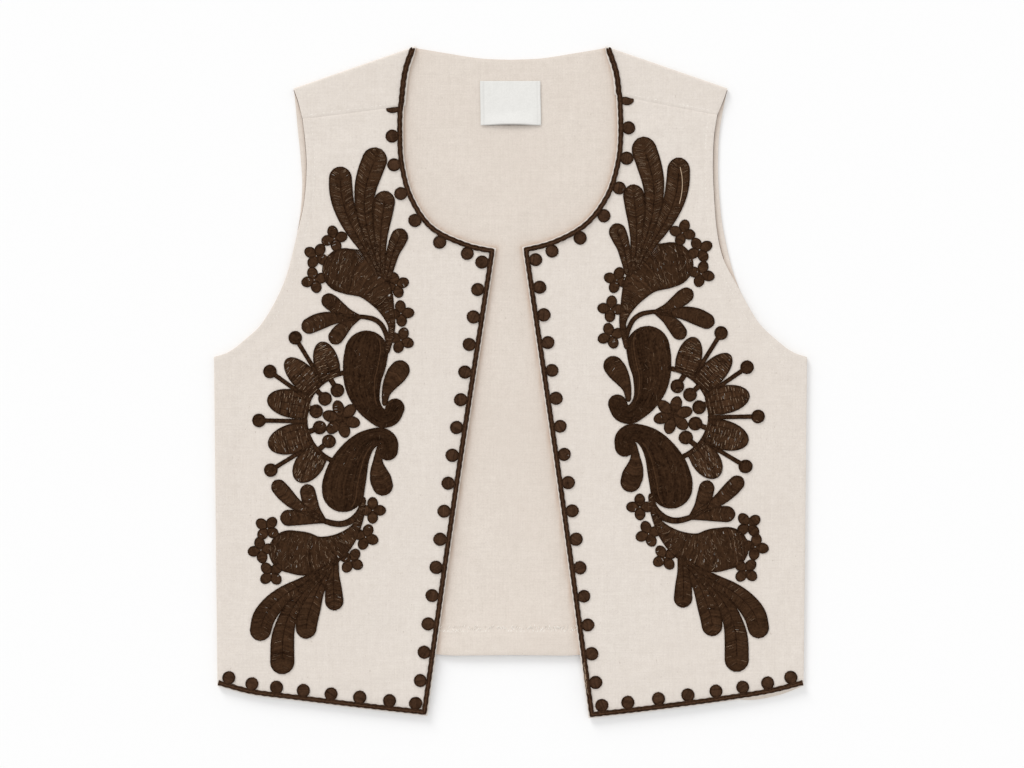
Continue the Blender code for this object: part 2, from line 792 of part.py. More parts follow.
def trim_outlines(front):
    """The cord and its dots, along the hem, the front edge and the neck."""
    hem, edge, neckline = front_chain(front)
    found = [band_outline(chain(hem, edge, neckline), -CORD_RIM - CORD_WIDTH, -CORD_RIM)]
    for line, dots, hand in (
        (neckline, front.neck_dots, 1),
        (edge[::-1], front.edge_dots, -1),
        (hem[::-1], front.hem_dots, -1),
        (edge, front.corner_dot, 1),
    ):
        for k in range(dots.count):
            distance = dots.first + k * dots.pitch + k**2 * dots.grow
            middle = place_along(line, distance, hand * dots.inwards)
            found.append(disc(middle, DOT_RADIUS, DOT_SIDES))
    found.append(seam_dot(front))
    return found


def turned_left(outline):
    """The outline running anticlockwise."""
    return outline if area_of(outline) > 0 else outline[::-1]


def area_of(outline):
    """Area inside an outline, negative where it runs clockwise."""
    following = np.roll(outline, -1, axis=0)
    return (outline[:, 0] * following[:, 1] - following[:, 0] * outline[:, 1]).sum() / 2


def union_edges(outlines):
    """Closed loops round all that the outlines cover together, the covered side on the left."""
    points = []
    faces = []
    for outline in outlines:
        first = len(points)
        points += [tuple(point) for point in turned_left(outline)]
        faces.append(list(range(first, len(points))))
    verts, _, triangles, _, _, owners = delaunay_2d_cdt(points, [], faces, 0, MEETING, True)
    edges = set()
    for triangle, owner in zip(triangles, owners):
        if owner:
            edges.update(zip(triangle, triangle[1:] + triangle[:1]))
    after = {start: end for start, end in sorted(edges) if (end, start) not in edges}
    loops = []
    while after:
        start, following = after.popitem()
        loop = [start]
        while following != start:
            loop.append(following)
            following = after.pop(following)
        loops.append(np.array([verts[index][:] for index in loop]))
    return [thinned(loop) for loop in loops if abs(area_of(loop)) > SMALLEST_HOLE]


def thinned(loop):
    """The loop without points that follow another too closely."""
    kept = [loop[0]]
    for point in loop[1:]:
        if np.linalg.norm(point - kept[-1]) > SHORTEST_EDGE:
            kept.append(point)
    if np.linalg.norm(kept[-1] - kept[0]) <= SHORTEST_EDGE:
        kept.pop()
    return np.array(kept)


def inside(place, loops):
    """Whether a place is within an odd number of loops."""
    crossings = 0
    for loop in loops:
        following = np.roll(loop, -1, axis=0)
        spans = (loop[:, 1] > place[1]) != (following[:, 1] > place[1])
        rise = np.where(spans, following[:, 1] - loop[:, 1], 1.0)
        meets = loop[:, 0] + (place[1] - loop[:, 1]) / rise * (following[:, 0] - loop[:, 0])
        crossings += int((spans & (meets > place[0])).sum())
    return crossings % 2 == 1


def plate(name, outlines, high, side, finish):
    """A raised flat piece that covers all the outlines and follows the front below it."""
    loops = union_edges(outlines)
    points = []
    edges = []
    for loop in loops:
        first = len(points)
        count = len(loop)
        points += [tuple(point) for point in loop]
        edges += [(first + k, first + (k + 1) % count) for k in range(count)]
    rim = np.array(points)
    for across in np.arange(rim[:, 0].min(), rim[:, 0].max(), CELL):
        for up in np.arange(rim[:, 1].min(), rim[:, 1].max(), CELL):
            clear = np.linalg.norm(rim - [across, up], axis=1).min()
            if clear > CELL_CLEAR and inside((across, up), loops):
                points.append((across, up))
    found = delaunay_2d_cdt(points, edges, [], 0, MM, True)
    flat = np.array([vert[:] for vert in found[0]])
    faces = [list(face) for face in found[2] if inside(flat[list(face)].mean(axis=0), loops)]
    base = UPPER_HIGH + LAYER_GAP + lift(flat[:, 0], flat[:, 1])
    plan = flat * [side, 1.0]
    return sheet(name, faces, np.column_stack([plan, base]), np.column_stack([plan, base + high]), finish)


def label(finish):
    """A small woven label lying on the inside of the back."""
    half = LABEL_WIDTH / 2
    low_edge = LABEL_UP - LABEL_HEIGHT / 2
    high_edge = LABEL_UP + LABEL_HEIGHT / 2
    corners = np.array([(-half, low_edge), (half, low_edge), (-half, high_edge), (half, high_edge)])
    low = np.column_stack([corners, np.full(len(corners), CLOTH + LAYER_GAP)])
    return sheet("neck_label", quads(1, 1), low, low + [0.0, 0.0, LABEL_THICK], finish)


def main():
    clear_scene()
    linen = material(LINEN)
    thread = material(EMBROIDERY_THREAD)
    cord = material(CORD_THREAD)
    back_panel(material(LINEN_INSIDE))
    label(material(WOVEN_LABEL))
    for word, front in FRONTS.items():
        front_panel(word, linen)
        plate("cord_" + word, trim_outlines(front), CORD_HIGH, front.side, cord)
        plate("embroidery_" + word, embroidery_outlines(front.lay), STITCH_HIGH, front.side, thread)


main()
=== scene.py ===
import math

import bpy
import numpy as np
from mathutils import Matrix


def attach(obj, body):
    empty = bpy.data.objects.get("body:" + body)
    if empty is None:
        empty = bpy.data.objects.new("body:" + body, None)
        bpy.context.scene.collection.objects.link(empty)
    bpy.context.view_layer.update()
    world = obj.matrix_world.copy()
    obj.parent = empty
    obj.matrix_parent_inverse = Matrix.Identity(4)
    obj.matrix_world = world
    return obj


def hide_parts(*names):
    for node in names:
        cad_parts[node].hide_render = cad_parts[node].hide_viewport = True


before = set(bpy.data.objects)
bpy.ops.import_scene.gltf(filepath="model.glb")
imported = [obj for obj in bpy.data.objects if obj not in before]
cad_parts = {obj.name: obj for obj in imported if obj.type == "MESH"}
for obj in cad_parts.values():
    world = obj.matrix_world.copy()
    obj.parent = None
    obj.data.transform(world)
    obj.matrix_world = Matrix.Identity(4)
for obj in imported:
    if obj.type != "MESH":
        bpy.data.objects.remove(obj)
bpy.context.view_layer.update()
bpy.ops.object.select_all(action="DESELECT")
print("frame loaded", sorted(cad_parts))

# Every length below is in millimetres: across is from the centre line, up is towards the neck.
mm = 0.001
middleUp = -1.1

cloth = {
    "wall": 1.5,
    "layerGap": 0.3,
    "lift": 2.0,
    "liftAcross": 140.0,
    "liftUp": -60.0,
    "liftWidth": 70.0,
    "liftLength": 150.0,
    "hemLift": 2.3,
    "hemLiftUp": -222.0,
    "hemLiftLength": 34.0,
    "hemLiftWidth": 70.0,
    "yokeStep": 1.1,
}
upperLow = cloth["wall"] + cloth["layerGap"]
upperHigh = upperLow + cloth["wall"]

# outline of one half of the back, each row is (across, up)
sideTop = (240.0, 19.2)
sideHem = (237.2, -247.1)
shoulderNeck = (77.0, 271.0)
shoulderTip = (175.8, 236.8)
neckYokeMiddle = (83.0, 250.0)
armholeYokeMiddle = (171.8, 225.5)
neckBack = [(0.0, 260.0), (25.1, 261.2), (51.8, 265.3)]
armholeLow = [sideTop, (228.3, 23.3), (215.3, 33.0), (199.9, 48.4)]
armholeBackMiddle = armholeLow + [(182.9, 80.7), (172.4, 122.0), (168.8, 154.4)]
armholeBack = {
    "left": armholeBackMiddle + [(168.2, 180.3), (169.6, 204.0)],
    "right": armholeBackMiddle + [(170.0, 180.3), (172.4, 204.0)],
}
hemBackMiddle = [(0.0, -222.0), (44.0, -222.4), (84.0, -223.0)]
hemBack = {
    "left": hemBackMiddle + [(140.0, -247.0), (186.0, -258.2), (215.0, -255.2), sideHem],
    "right": hemBackMiddle + [(150.0, -246.0), (200.0, -251.0), sideHem],
}

# each front: its edges, its yoke seam, its rows of dots and how its spray lies
# a row of dots is (first, pitch, how much the pitch grows, inwards, count)
frontShapes = {
    "left": {
        "neck": [(9.3, 108.2), (34.0, 114.8), (59.0, 128.7), (75.9, 151.0), (84.0, 176.0), (86.4, 200.0)],
        "edgeMiddle": (37.2, -82.5),
        "hem": [(63.3, -273.2), (100.0, -269.2), (145.3, -263.5), (177.7, -259.0), (210.0, -253.8), sideHem],
        "armhole": armholeLow + [(183.5, 77.0), (172.5, 98.0), (167.6, 118.0), (165.2, 142.0), (163.9, 172.0),
                                 (164.7, 197.0)],
        "seamNeck": (85.4, 231.4), "seamArmhole": (167.4, 215.2), "seamDot": 6.6,
        "dots": {"neck": (22.0, 23.05, 0.015, 9.1, 6), "edge": (11.7, 22.5, 0.035, 9.4, 16),
                 "hem": (32.9, 25.6, -0.52, 9.4, 7), "corner": (9.0, 0.0, 0.0, 11.9, 1)},
        "lay": {"drawn": 3.2, "slant": 0.033, "raised": 2.9, "stretch": 0.006, "bow": 0.0005},
    },
    "right": {
        "neck": [(11.6, 107.3), (35.2, 112.7), (62.1, 126.1), (78.2, 149.7), (85.3, 176.0), (86.7, 199.0)],
        "edgeMiddle": (40.5, -82.0),
        "hem": [(67.3, -271.4), (112.9, -266.3), (145.3, -262.5), (177.7, -258.5), (210.0, -254.3), sideHem],
        "armhole": armholeLow + [(182.9, 80.7), (172.0, 122.0), (167.0, 145.0), (165.0, 172.0), (166.0, 192.0)],
        "seamNeck": (86.2, 222.6), "seamArmhole": (168.4, 212.0), "seamDot": 4.7,
        "dots": {"neck": (21.1, 22.7, -0.075, 9.1, 6), "edge": (12.9, 22.4, 0.027, 9.7, 16),
                 "hem": (31.8, 24.7, -0.42, 9.0, 7), "corner": (8.9, 0.0, 0.0, 10.8, 1)},
        "lay": {"drawn": 0.0, "slant": 0.0, "raised": 0.0, "stretch": 0.0, "bow": 0.0},
    },
}
bothSides = ((1, "left"), (-1, "right"))


def runOf(line):
    steps = np.linalg.norm(np.diff(line[:, :2], axis=0), axis=1)
    return np.concatenate([[0.0], np.cumsum(steps)])


def pickAlong(line, run, at):
    # the places of a line at given lengths of its run
    return np.column_stack([np.interp(at, run, line[:, k]) for k in range(line.shape[1])])


def evenly(line, steps):
    line = np.array(line, float)
    length = runOf(line)
    return pickAlong(line, length, np.linspace(0.0, length[-1], steps + 1))


def smoothLine(knots, steps):
    knots = np.array(knots, float)
    ends = np.vstack([2 * knots[0] - knots[1], knots, 2 * knots[-1] - knots[-2]])
    t = np.linspace(0.0, 1.0, 16, endpoint=False)[:, None]
    fine = []
    for before, start, end, after in zip(ends, ends[1:], ends[2:], ends[3:]):
        fine.append(0.5 * (2 * start + (end - before) * t + (2 * before - 5 * start + 4 * end - after) * t**2
                           + (3 * start - before - 3 * end + after) * t**3))
    return evenly(np.vstack(fine + [knots[-1:]]), steps)


def joinLines(*lines):
    return np.vstack([lines[0]] + [line[1:] for line in lines[1:]])


def patch(bottom, top, inner, outer):
    u = np.linspace(0.0, 1.0, len(bottom))[None, :, None]
    v = np.linspace(0.0, 1.0, len(inner))[:, None, None]
    corners = (1 - v) * ((1 - u) * bottom[0] + u * bottom[-1]) + v * ((1 - u) * top[0] + u * top[-1])
    return (1 - u) * inner[:, None] + u * outer[:, None] + (1 - v) * bottom[None] + v * top[None] - corners


def distanceTo(points, line):
    # nearest distance from each point to a line of short pieces
    best = np.full(len(points), 1e9)
    for a, b in zip(line[:-1], line[1:]):
        way = b - a
        t = np.clip(((points - a) @ way) / max(way @ way, 1e-9), 0.0, 1.0)
        best = np.minimum(best, np.linalg.norm(points - a - t[:, None] * way, axis=1))
    return best


def softStep(x):
    x = np.clip(x, 0.0, 1.0)
    return x * x * (3 - 2 * x)


def unitAt(turn):
    return np.array([math.cos(turn), math.sin(turn)])


def leftOf(line, closed=False):
    # the way to the left at each point of a line
    line = line[:, :2]
    ahead = np.roll(line, -1, axis=0) - np.roll(line, 1, axis=0) if closed else np.gradient(line, axis=0)
    ahead /= np.maximum(np.linalg.norm(ahead, axis=1), 1e-9)[:, None]
    return np.column_stack([-ahead[:, 1], ahead[:, 0]])


# main creases, each row is (across, up, way in degrees, half length, half width, height)
creaseBow = 0.0016
creases = {
    "left": [
        (52, 60, 96, 70, 7, 0.45), (58, -80, 84, 90, 9, -0.30), (215, -60, 92, 80, 10, 0.40),
        (205, -190, 70, 45, 7, 0.35), (110, -235, 12, 50, 6, 0.30), (70, 170, 60, 30, 5, 0.30),
        (150, 190, 20, 26, 6, -0.30), (206, 20, 35, 24, 5, 0.35), (225, -120, 80, 40, 5, -0.25),
        (78, -180, 100, 50, 6, 0.30), (140, 140, 110, 40, 7, 0.25), (120, 205, 8, 30, 5, 0.25),
    ],
    "right": [
        (45, 45, 82, 60, 6, 0.40), (62, -60, 98, 80, 8, 0.35), (218, -90, 86, 70, 9, -0.30),
        (212, -200, 105, 40, 6, 0.35), (120, -240, 170, 45, 6, 0.30), (150, 180, 150, 30, 6, 0.30),
        (204, 25, 140, 26, 5, 0.30), (228, -40, 95, 50, 5, 0.25), (75, -140, 78, 55, 7, -0.30),
        (74, 130, 40, 26, 5, 0.30), (135, 205, 175, 28, 5, -0.20), (160, -215, 60, 26, 5, 0.20),
    ],
    "back": [
        (-8, 60, 88, 110, 9, 0.35), (30, 150, 30, 60, 8, 0.30), (-42, 170, 140, 50, 7, 0.30),
        (6, -100, 95, 90, 8, -0.25), (-28, -150, 80, 50, 6, 0.25), (32, -170, 102, 45, 6, 0.25),
        (55, 215, 60, 26, 6, 0.25), (-60, 200, 115, 30, 6, -0.25),
    ],
}


def creaseHeight(points, rows):
    total = np.zeros(len(points))
    for across, up, way, halfLength, halfWidth, height in rows:
        turn = math.radians(way)
        along = (points[:, 0] - across) * math.cos(turn) + (points[:, 1] - up) * math.sin(turn)
        beside = (points[:, 1] - up) * math.cos(turn) - (points[:, 0] - across) * math.sin(turn)
        beside = beside + creaseBow * along**2 * (1 if height > 0 else -1)
        total += height * np.exp(-(along / halfLength) ** 2 - (beside / halfWidth) ** 2)
    return total


def hemLiftOf(points):
    # the middle of the back hem stands a little off the floor
    along = (points[:, 1] - cloth["hemLiftUp"]) / cloth["hemLiftLength"]
    return cloth["hemLift"] * np.exp(-(along**2) - (points[:, 0] / cloth["hemLiftWidth"]) ** 4)


def liftOf(points):
    away = (points[:, 0] - cloth["liftAcross"]) / cloth["liftWidth"]
    along = (points[:, 1] - cloth["liftUp"]) / cloth["liftLength"]
    return cloth["lift"] * np.exp(-(away**2) - along**2) + hemLiftOf(points)


def frontTop(points, word):
    # height of a front's upper face
    points = np.asarray(points, float).reshape(-1, 2)
    return upperHigh + liftOf(points) + creaseHeight(points, creases[word])


def placed(points, side):
    # millimetres on one half to metres in the row frame
    points = np.array(points, float) * [side, 1.0, 1.0]
    return (points - [0.0, middleUp, 0.0]) * mm


def gridFaces(rows, columns):
    corner = (np.arange(rows)[:, None] * (columns + 1) + np.arange(columns)[None]).reshape(-1)
    return np.column_stack([corner, corner + 1, corner + columns + 2, corner + columns + 1])


def makeMesh(name, points, faces, tone=None, smooth=True):
    mesh = bpy.data.meshes.new(name)
    mesh.from_pydata(np.asarray(points).tolist(), [], [tuple(int(c) for c in f) for f in faces])
    if tone is not None:
        layer = mesh.attributes.new("tone", "FLOAT", "POINT")
        layer.data.foreach_set("value", np.asarray(tone, np.float32))
    mesh.update()
    made = bpy.data.objects.new(name, mesh)
    bpy.context.scene.collection.objects.link(made)
    mesh.polygons.foreach_set("use_smooth", [smooth] * len(mesh.polygons))
    return made


def wallBetween(name, faces, below, above, flip, tone=None):
    # a closed wall between two layers of points
    count = len(below)
    faces = np.asarray(faces)
    if flip:
        faces = faces[:, ::-1]
    pairs = set(map(tuple, np.column_stack([faces.reshape(-1), np.roll(faces, -1, axis=1).reshape(-1)])))
    rim = [(a, b) for a, b in pairs if (b, a) not in pairs]
    built = [tuple(f + count) for f in faces] + [tuple(f[::-1]) for f in faces]
    built += [(a, b, count + b, count + a) for a, b in sorted(rim)]
    return makeMesh(name, np.vstack([below, above]), built, None if tone is None else np.tile(tone, 2))


def applyModifier(obj, kind, **values):
    bpy.ops.object.select_all(action="DESELECT")
    bpy.context.view_layer.objects.active = obj
    obj.select_set(True)
    modifier = obj.modifiers.new(kind.lower(), kind)
    for key, value in values.items():
        setattr(modifier, key, value)
    bpy.ops.object.modifier_apply(modifier=modifier.name)
    obj.select_set(False)


def bevelEdges(obj, width):
    applyModifier(obj, "BEVEL", width=width * mm, segments=2, limit_method="ANGLE", angle_limit=math.radians(60))


# shader node groups and materials
def group(name, inputs, outputs):
    made = bpy.data.node_groups.new(name, "ShaderNodeTree")
    for labels, way in ((inputs, "INPUT"), (outputs, "OUTPUT")):
        for label in labels:
            kind = "NodeSocketVector" if label == "Coordinates" else "NodeSocketFloat"
            made.interface.new_socket(label, in_out=way, socket_type=kind)
    return made, made.nodes.new("NodeGroupInput"), made.nodes.new("NodeGroupOutput")


def addMath(tree, operation, a, b=None, clamp=False):
    node = tree.nodes.new("ShaderNodeMath")
    node.operation = operation
    node.use_clamp = clamp
    for slot, value in enumerate((a, b)):
        if isinstance(value, (int, float)):
            node.inputs[slot].default_value = value
        elif value is not None:
            tree.links.new(value, node.inputs[slot])
    return node.outputs[0]


def plus(tree, a, b, clamp=False):
    return addMath(tree, "ADD", a, b, clamp)


def minus(tree, a, b, clamp=False):
    return addMath(tree, "SUBTRACT", a, b, clamp)


def times(tree, a, b):
    return addMath(tree, "MULTIPLY", a, b)


def addNoise(tree, vector, scale, detail, roughness, stretch=None):
    if stretch is not None:
        mapping = tree.nodes.new("ShaderNodeMapping")
        mapping.inputs["Scale"].default_value = stretch
        tree.links.new(vector, mapping.inputs["Vector"])
        vector = mapping.outputs[0]
    noise = tree.nodes.new("ShaderNodeTexNoise")
    for label, number in (("Scale", scale), ("Detail", detail), ("Roughness", roughness)):
        noise.inputs[label].default_value = number
    tree.links.new(vector, noise.inputs["Vector"])
    return noise.outputs["Fac"]


def rangeOf(tree, value, low, high, toLow=0.0, toHigh=1.0):
    node = tree.nodes.new("ShaderNodeMapRange")
    tree.links.new(value, node.inputs["Value"])
    for label, number in (("From Min", low), ("From Max", high), ("To Min", toLow), ("To Max", toHigh)):
        node.inputs[label].default_value = number
    return node.outputs["Result"]


# each noise is (scale, detail, roughness), each cloud has its share of the tone at the end
weaveSizes = {
    "threads": (("X", (900, 30, 30), (34, 760, 30)), ("Y", (30, 900, 30), (760, 34, 30))),
    "wobbleNoise": (1.0, 1.0, 0.5), "slubNoise": (1.0, 3.0, 0.6), "wobble": 3.0, "crossing": 0.5, "ripple": 0.25,
    "slubTone": 0.62, "weaveTone": 0.10, "clouds": ((190.0, 4.0, 0.62, 0.60), (760.0, 3.0, 0.7, 0.85)),
    "speckNoise": (620.0, 2.0, 0.55), "speckStretch": (1.0, 0.45, 1.0), "speckRange": (0.70, 0.78),
    "weaveHigh": 0.5, "slubHigh": 1.2,
}
grainSizes = {"broadNoise": (160.0, 3.0, 0.6), "fineNoise": (620.0, 3.0, 0.65), "broad": 0.35, "fine": 0.65,
              "range": (0.32, 0.68, -0.35, 1.35)}


def buildWeave():
    # plain weave with slubs: tone runs from thin shaded places to thick pale threads
    tree, start, end = group("linenWeave", ["Coordinates", "Thread", "Slub"], ["Tone", "Height", "Fleck"])
    sizes = weaveSizes
    where = start.outputs["Coordinates"]
    split = tree.nodes.new("ShaderNodeSeparateXYZ")
    tree.links.new(where, split.inputs[0])
    waves, slubs = [], []
    for axis, wobbleStretch, slubStretch in sizes["threads"]:
        wobble = addNoise(tree, where, *sizes["wobbleNoise"], stretch=wobbleStretch)
        count = addMath(tree, "DIVIDE", split.outputs[axis], start.outputs["Thread"])
        turn = plus(tree, times(tree, count, math.pi * 2), times(tree, wobble, sizes["wobble"]))
        waves.append(addMath(tree, "SINE", turn))
        slubs.append(addNoise(tree, where, *sizes["slubNoise"], stretch=slubStretch))
    ripple = times(tree, plus(tree, *waves), sizes["ripple"])
    weave = plus(tree, times(tree, times(tree, *waves), sizes["crossing"]), ripple)
    slub = times(tree, minus(tree, plus(tree, *slubs), 1.0), start.outputs["Slub"])
    tone = plus(tree, times(tree, slub, sizes["slubTone"]), times(tree, weave, sizes["weaveTone"]))
    for *noise, share in sizes["clouds"]:
        cloud = minus(tree, addNoise(tree, where, *noise), 0.5)
        tone = plus(tree, tone, times(tree, cloud, share))
    tone = plus(tree, tone, 0.5, clamp=True)
    specks = addNoise(tree, where, *sizes["speckNoise"], stretch=sizes["speckStretch"])
    fleck = rangeOf(tree, specks, *sizes["speckRange"])
    height = plus(tree, times(tree, weave, sizes["weaveHigh"]), times(tree, slub, sizes["slubHigh"]))
    for label, value in (("Tone", tone), ("Height", height), ("Fleck", fleck)):
        tree.links.new(value, end.inputs[label])
    return tree


def buildThread():
    # fine twist and fibre of embroidery thread
    tree, start, end = group("threadGrain", ["Coordinates"], ["Tone", "Height"])
    where = start.outputs["Coordinates"]
    broad = addNoise(tree, where, *grainSizes["broadNoise"])
    fine = addNoise(tree, where, *grainSizes["fineNoise"])
    tone = plus(tree, times(tree, broad, grainSizes["broad"]), times(tree, fine, grainSizes["fine"]))
    tree.links.new(rangeOf(tree, tone, *grainSizes["range"]), end.inputs["Tone"])
    tree.links.new(fine, end.inputs["Height"])
    return tree


weaveGroup = buildWeave()
threadGroup = buildThread()


def startMaterial(name, grouped):
    made = bpy.data.materials.new(name)
    made.use_nodes = True
    tree = made.node_tree
    coordinates = tree.nodes.new("ShaderNodeTexCoord").outputs["Object"]
    pattern = tree.nodes.new("ShaderNodeGroup")
    pattern.node_tree = grouped
    tree.links.new(coordinates, pattern.inputs["Coordinates"])
    stored = tree.nodes.new("ShaderNodeAttribute")
    stored.attribute_name = "tone"
    return made, tree, coordinates, pattern, stored.outputs["Fac"]


def mixColours(tree, factor, first, second):
    node = tree.nodes.new("ShaderNodeMix")
    node.data_type = "RGBA"
    tree.links.new(factor, node.inputs["Factor"])
    for slot, value in (("A", first), ("B", second)):
        socket = next(s for s in node.inputs if s.name == slot and s.type == "RGBA")
        if isinstance(value, tuple):
            socket.default_value = (*value, 1.0)
        else:
            tree.links.new(value, socket)
    return next(s for s in node.outputs if s.type == "RGBA")


def finishMaterial(tree, pattern, base, tone, look):
    shader = tree.nodes["Principled BSDF"]
    tree.links.new(base, shader.inputs["Base Color"])
    rough = rangeOf(tree, tone, 0.0, 1.0, look["rough"], look["rough"] - look["smoother"])
    tree.links.new(rough, shader.inputs["Roughness"])
    shader.inputs["Specular IOR Level"].default_value = look["specular"]
    bump = tree.nodes.new("ShaderNodeBump")
    bump.inputs["Strength"].default_value = look["bump"]
    bump.inputs["Distance"].default_value = look["bumpDeep"]
    tree.links.new(pattern.outputs["Height"], bump.inputs["Height"])
    tree.links.new(bump.outputs["Normal"], shader.inputs["Normal"])
    return shader


def linenMaterial(name, look):
    made, tree, coordinates, weave, paintedShade = startMaterial(name, weaveGroup)
    weave.inputs["Thread"].default_value = look["thread"]
    weave.inputs["Slub"].default_value = look["slub"]
    base = mixColours(tree, weave.outputs["Tone"], look["shade"], look["light"])
    warm = rangeOf(tree, addNoise(tree, coordinates, *blotches["noise"]), *blotches["range"], 0.0, look["warmth"])
    base = mixColours(tree, warm, base, look["warm"])
    base = mixColours(tree, times(tree, weave.outputs["Fleck"], look["fleckShare"]), base, look["fleck"])
    # the tone attribute mixes in the edge colour: painted shade on the back beside the fronts and yokes, and a
    # painted shadow along the label's bottom edge
    base = mixColours(tree, paintedShade, base, look["edge"])
    finishMaterial(tree, weave, base, weave.outputs["Tone"], look)
    return made


def threadMaterial(name, look):
    made, tree, coordinates, grain, strand = startMaterial(name, threadGroup)
    tone = plus(tree, times(tree, strand, toneShares["strand"]),
                times(tree, grain.outputs["Tone"], toneShares["grain"]), clamp=True)
    base = mixColours(tree, tone, look["dark"], look["light"])
    # tones above one mix towards the lit colour: painted highlights on the glint threads, and pale threads such as
    # the open vein and the loose threads
    base = mixColours(tree, minus(tree, strand, 1.0, clamp=True), base, look["lit"])
    shader = finishMaterial(tree, grain, base, tone, look)
    shader.inputs["Specular Tint"].default_value = (*look["tint"], 1.0)
    return made


blotches = {"noise": (9.0, 3.0, 0.55), "range": (0.35, 0.70)}
toneShares = {"strand": 0.85, "grain": 0.34}
linenFinish = {"rough": 0.93, "smoother": 0.08, "specular": 0.25, "bump": 0.40, "bumpDeep": 0.0003}
threadFinish = {"rough": 0.60, "smoother": 0.10, "specular": 0.04, "tint": (1.0, 0.72, 0.52), "bump": 0.8,
                "bumpDeep": 0.0002}
# each edge colour is painted shade, mixed in by a piece's tone attribute: beside the fronts on the back, under the
# label's bottom edge
linenLooks = {
    "linenOutside": {"thread": 0.00062, "slub": 0.8, "shade": (0.652, 0.586, 0.524), "light": (0.840, 0.776, 0.712),
                     "warm": (0.700, 0.622, 0.556), "warmth": 0.30, "fleck": (0.30, 0.22, 0.16), "fleckShare": 0.35,
                     "edge": (0.44, 0.34, 0.26)},
    "linenInside": {"thread": 0.00062, "slub": 0.8, "shade": (0.640, 0.568, 0.500), "light": (0.830, 0.754, 0.682),
                    "warm": (0.680, 0.596, 0.524), "warmth": 0.35, "fleck": (0.30, 0.22, 0.16), "fleckShare": 0.30,
                    "edge": (0.50, 0.34, 0.24)},
    "labelWeave": {"thread": 0.00042, "slub": 0.45, "shade": (0.72, 0.71, 0.68), "light": (0.85, 0.84, 0.81),
                   "warm": (0.78, 0.78, 0.76), "warmth": 0.2, "fleck": (0.6, 0.6, 0.58), "fleckShare": 0.0,
                   "edge": (0.10, 0.075, 0.06), "rough": 0.7, "bump": 0.3},
}
threadLooks = {
    "satinThread": {"dark": (0.0100, 0.0036, 0.0013), "light": (0.088, 0.044, 0.022), "lit": (0.52, 0.38, 0.26),
                    "rough": 0.55},
    "cordThread": {"dark": (0.0110, 0.0044, 0.0018), "light": (0.092, 0.047, 0.026), "lit": (0.50, 0.37, 0.26)},
    "sewingThread": {"dark": (0.72, 0.66, 0.59), "light": (0.94, 0.90, 0.84), "lit": (0.94, 0.90, 0.84),
                     "specular": 0.3, "tint": (1.0, 1.0, 1.0)},
}
materials = {name: linenMaterial(name, {**linenFinish, **look}) for name, look in linenLooks.items()}
materials.update({name: threadMaterial(name, {**threadFinish, **look}) for name, look in threadLooks.items()})
print("materials made")

# the two fronts
frontCells = {"edgeRows": 126, "neckRows": 62, "sideRows": 90, "columns": 66, "bevel": 0.30}
edgeFinish = {"armholeStitch": 6.5, "troughDeep": 0.22, "troughWide": 1.1, "seamDip": 0.10, "seamWide": 1.6,
              "turnThick": 0.25, "turnSoft": 1.5}


def frontEdge(shape, steps):
    return smoothLine([shape["hem"][0], shape["edgeMiddle"], shape["neck"][0]], steps)


def makeFront(side, word):
    cells, finish = frontCells, edgeFinish
    rows = cells["edgeRows"] + cells["neckRows"]
    shape = frontShapes[word]
    neck = smoothLine(shape["neck"] + [shape["seamNeck"]], cells["neckRows"])
    inner = joinLines(frontEdge(shape, cells["edgeRows"]), neck)
    armhole = smoothLine(shape["armhole"] + [shape["seamArmhole"]], rows - cells["sideRows"])
    outer = joinLines(evenly([sideHem, sideTop], cells["sideRows"]), armhole)
    bottom = smoothLine(shape["hem"], cells["columns"])
    top = evenly([shape["seamNeck"], shape["seamArmhole"]], cells["columns"])
    flat = patch(bottom, top, inner, outer).reshape(-1, 2)
    rise = liftOf(flat) + creaseHeight(flat, creases[word])
    fromArmhole = distanceTo(flat, armhole)
    fromSeam = distanceTo(flat, top)
    turned = (finish["armholeStitch"] - fromArmhole) / finish["turnSoft"] + 1.0
    above = rise + finish["turnThick"] * softStep(turned)
    fromStitch = (fromArmhole - finish["armholeStitch"]) / finish["troughWide"]
    above -= finish["troughDeep"] * np.exp(-(fromStitch**2))
    above -= finish["seamDip"] * np.exp(-((fromSeam / finish["seamWide"]) ** 2))
    below = placed(np.column_stack([flat, upperLow + rise]), side)
    above = placed(np.column_stack([flat, upperHigh + above]), side)
    made = wallBetween("front_" + word + "_cloth", gridFaces(rows, cells["columns"]), below, above, side < 0)
    bevelEdges(made, cells["bevel"])
    made.data.materials.append(materials["linenOutside"])
    area = float(sum(p.area for p in made.data.polygons)) / 2
    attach(made, "root")
    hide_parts("front_" + word)
    return made, area


for side, word in bothSides:
    makeFront(side, word)

# the back, folded over the shoulders
backCells = {"sideRows": 84, "armholeRows": 84, "neckColumns": 40, "shoulderColumns": 34, "foldSteps": 8,
             "yokeRows": 14, "bevel": 0.30}
# painted shade on the back beside the fronts and yokes: a close dark line and a softer spread
backShade = {"line": 0.40, "near": 1.7, "soft": 0.22, "wide": 4.5}
backHem = {"deep": 22.7, "thick": 0.35, "soft": 1.2, "stitchBelow": 2.0, "troughDeep": 0.25, "troughWide": 1.2}
# the back's creases fade out under the fronts
backInside = {"seenTo": 62.0, "fade": 16.0, "most": 0.25, "belowShare": 0.5}
yokeEnds = {"seamGap": 0.12, "neckSoft": 8.0, "seamDip": 0.6}
# faces of the back that show the cloth's outside: the yokes and the underside
outsideFaces = {"above": 1.66, "beside": 76.0, "underSeam": 1.0, "facing": -0.3, "belowFacing": -0.5, "below": 0.9}


def shoulderLine():
    neck, tip = np.array(shoulderNeck), np.array(shoulderTip)
    along = (tip - neck) / np.linalg.norm(tip - neck)
    out = np.array([-along[1], along[0]])
    radius = cloth["wall"] + cloth["layerGap"] / 2
    return evenly([neck, tip], backCells["shoulderColumns"]) - out * radius, out, radius


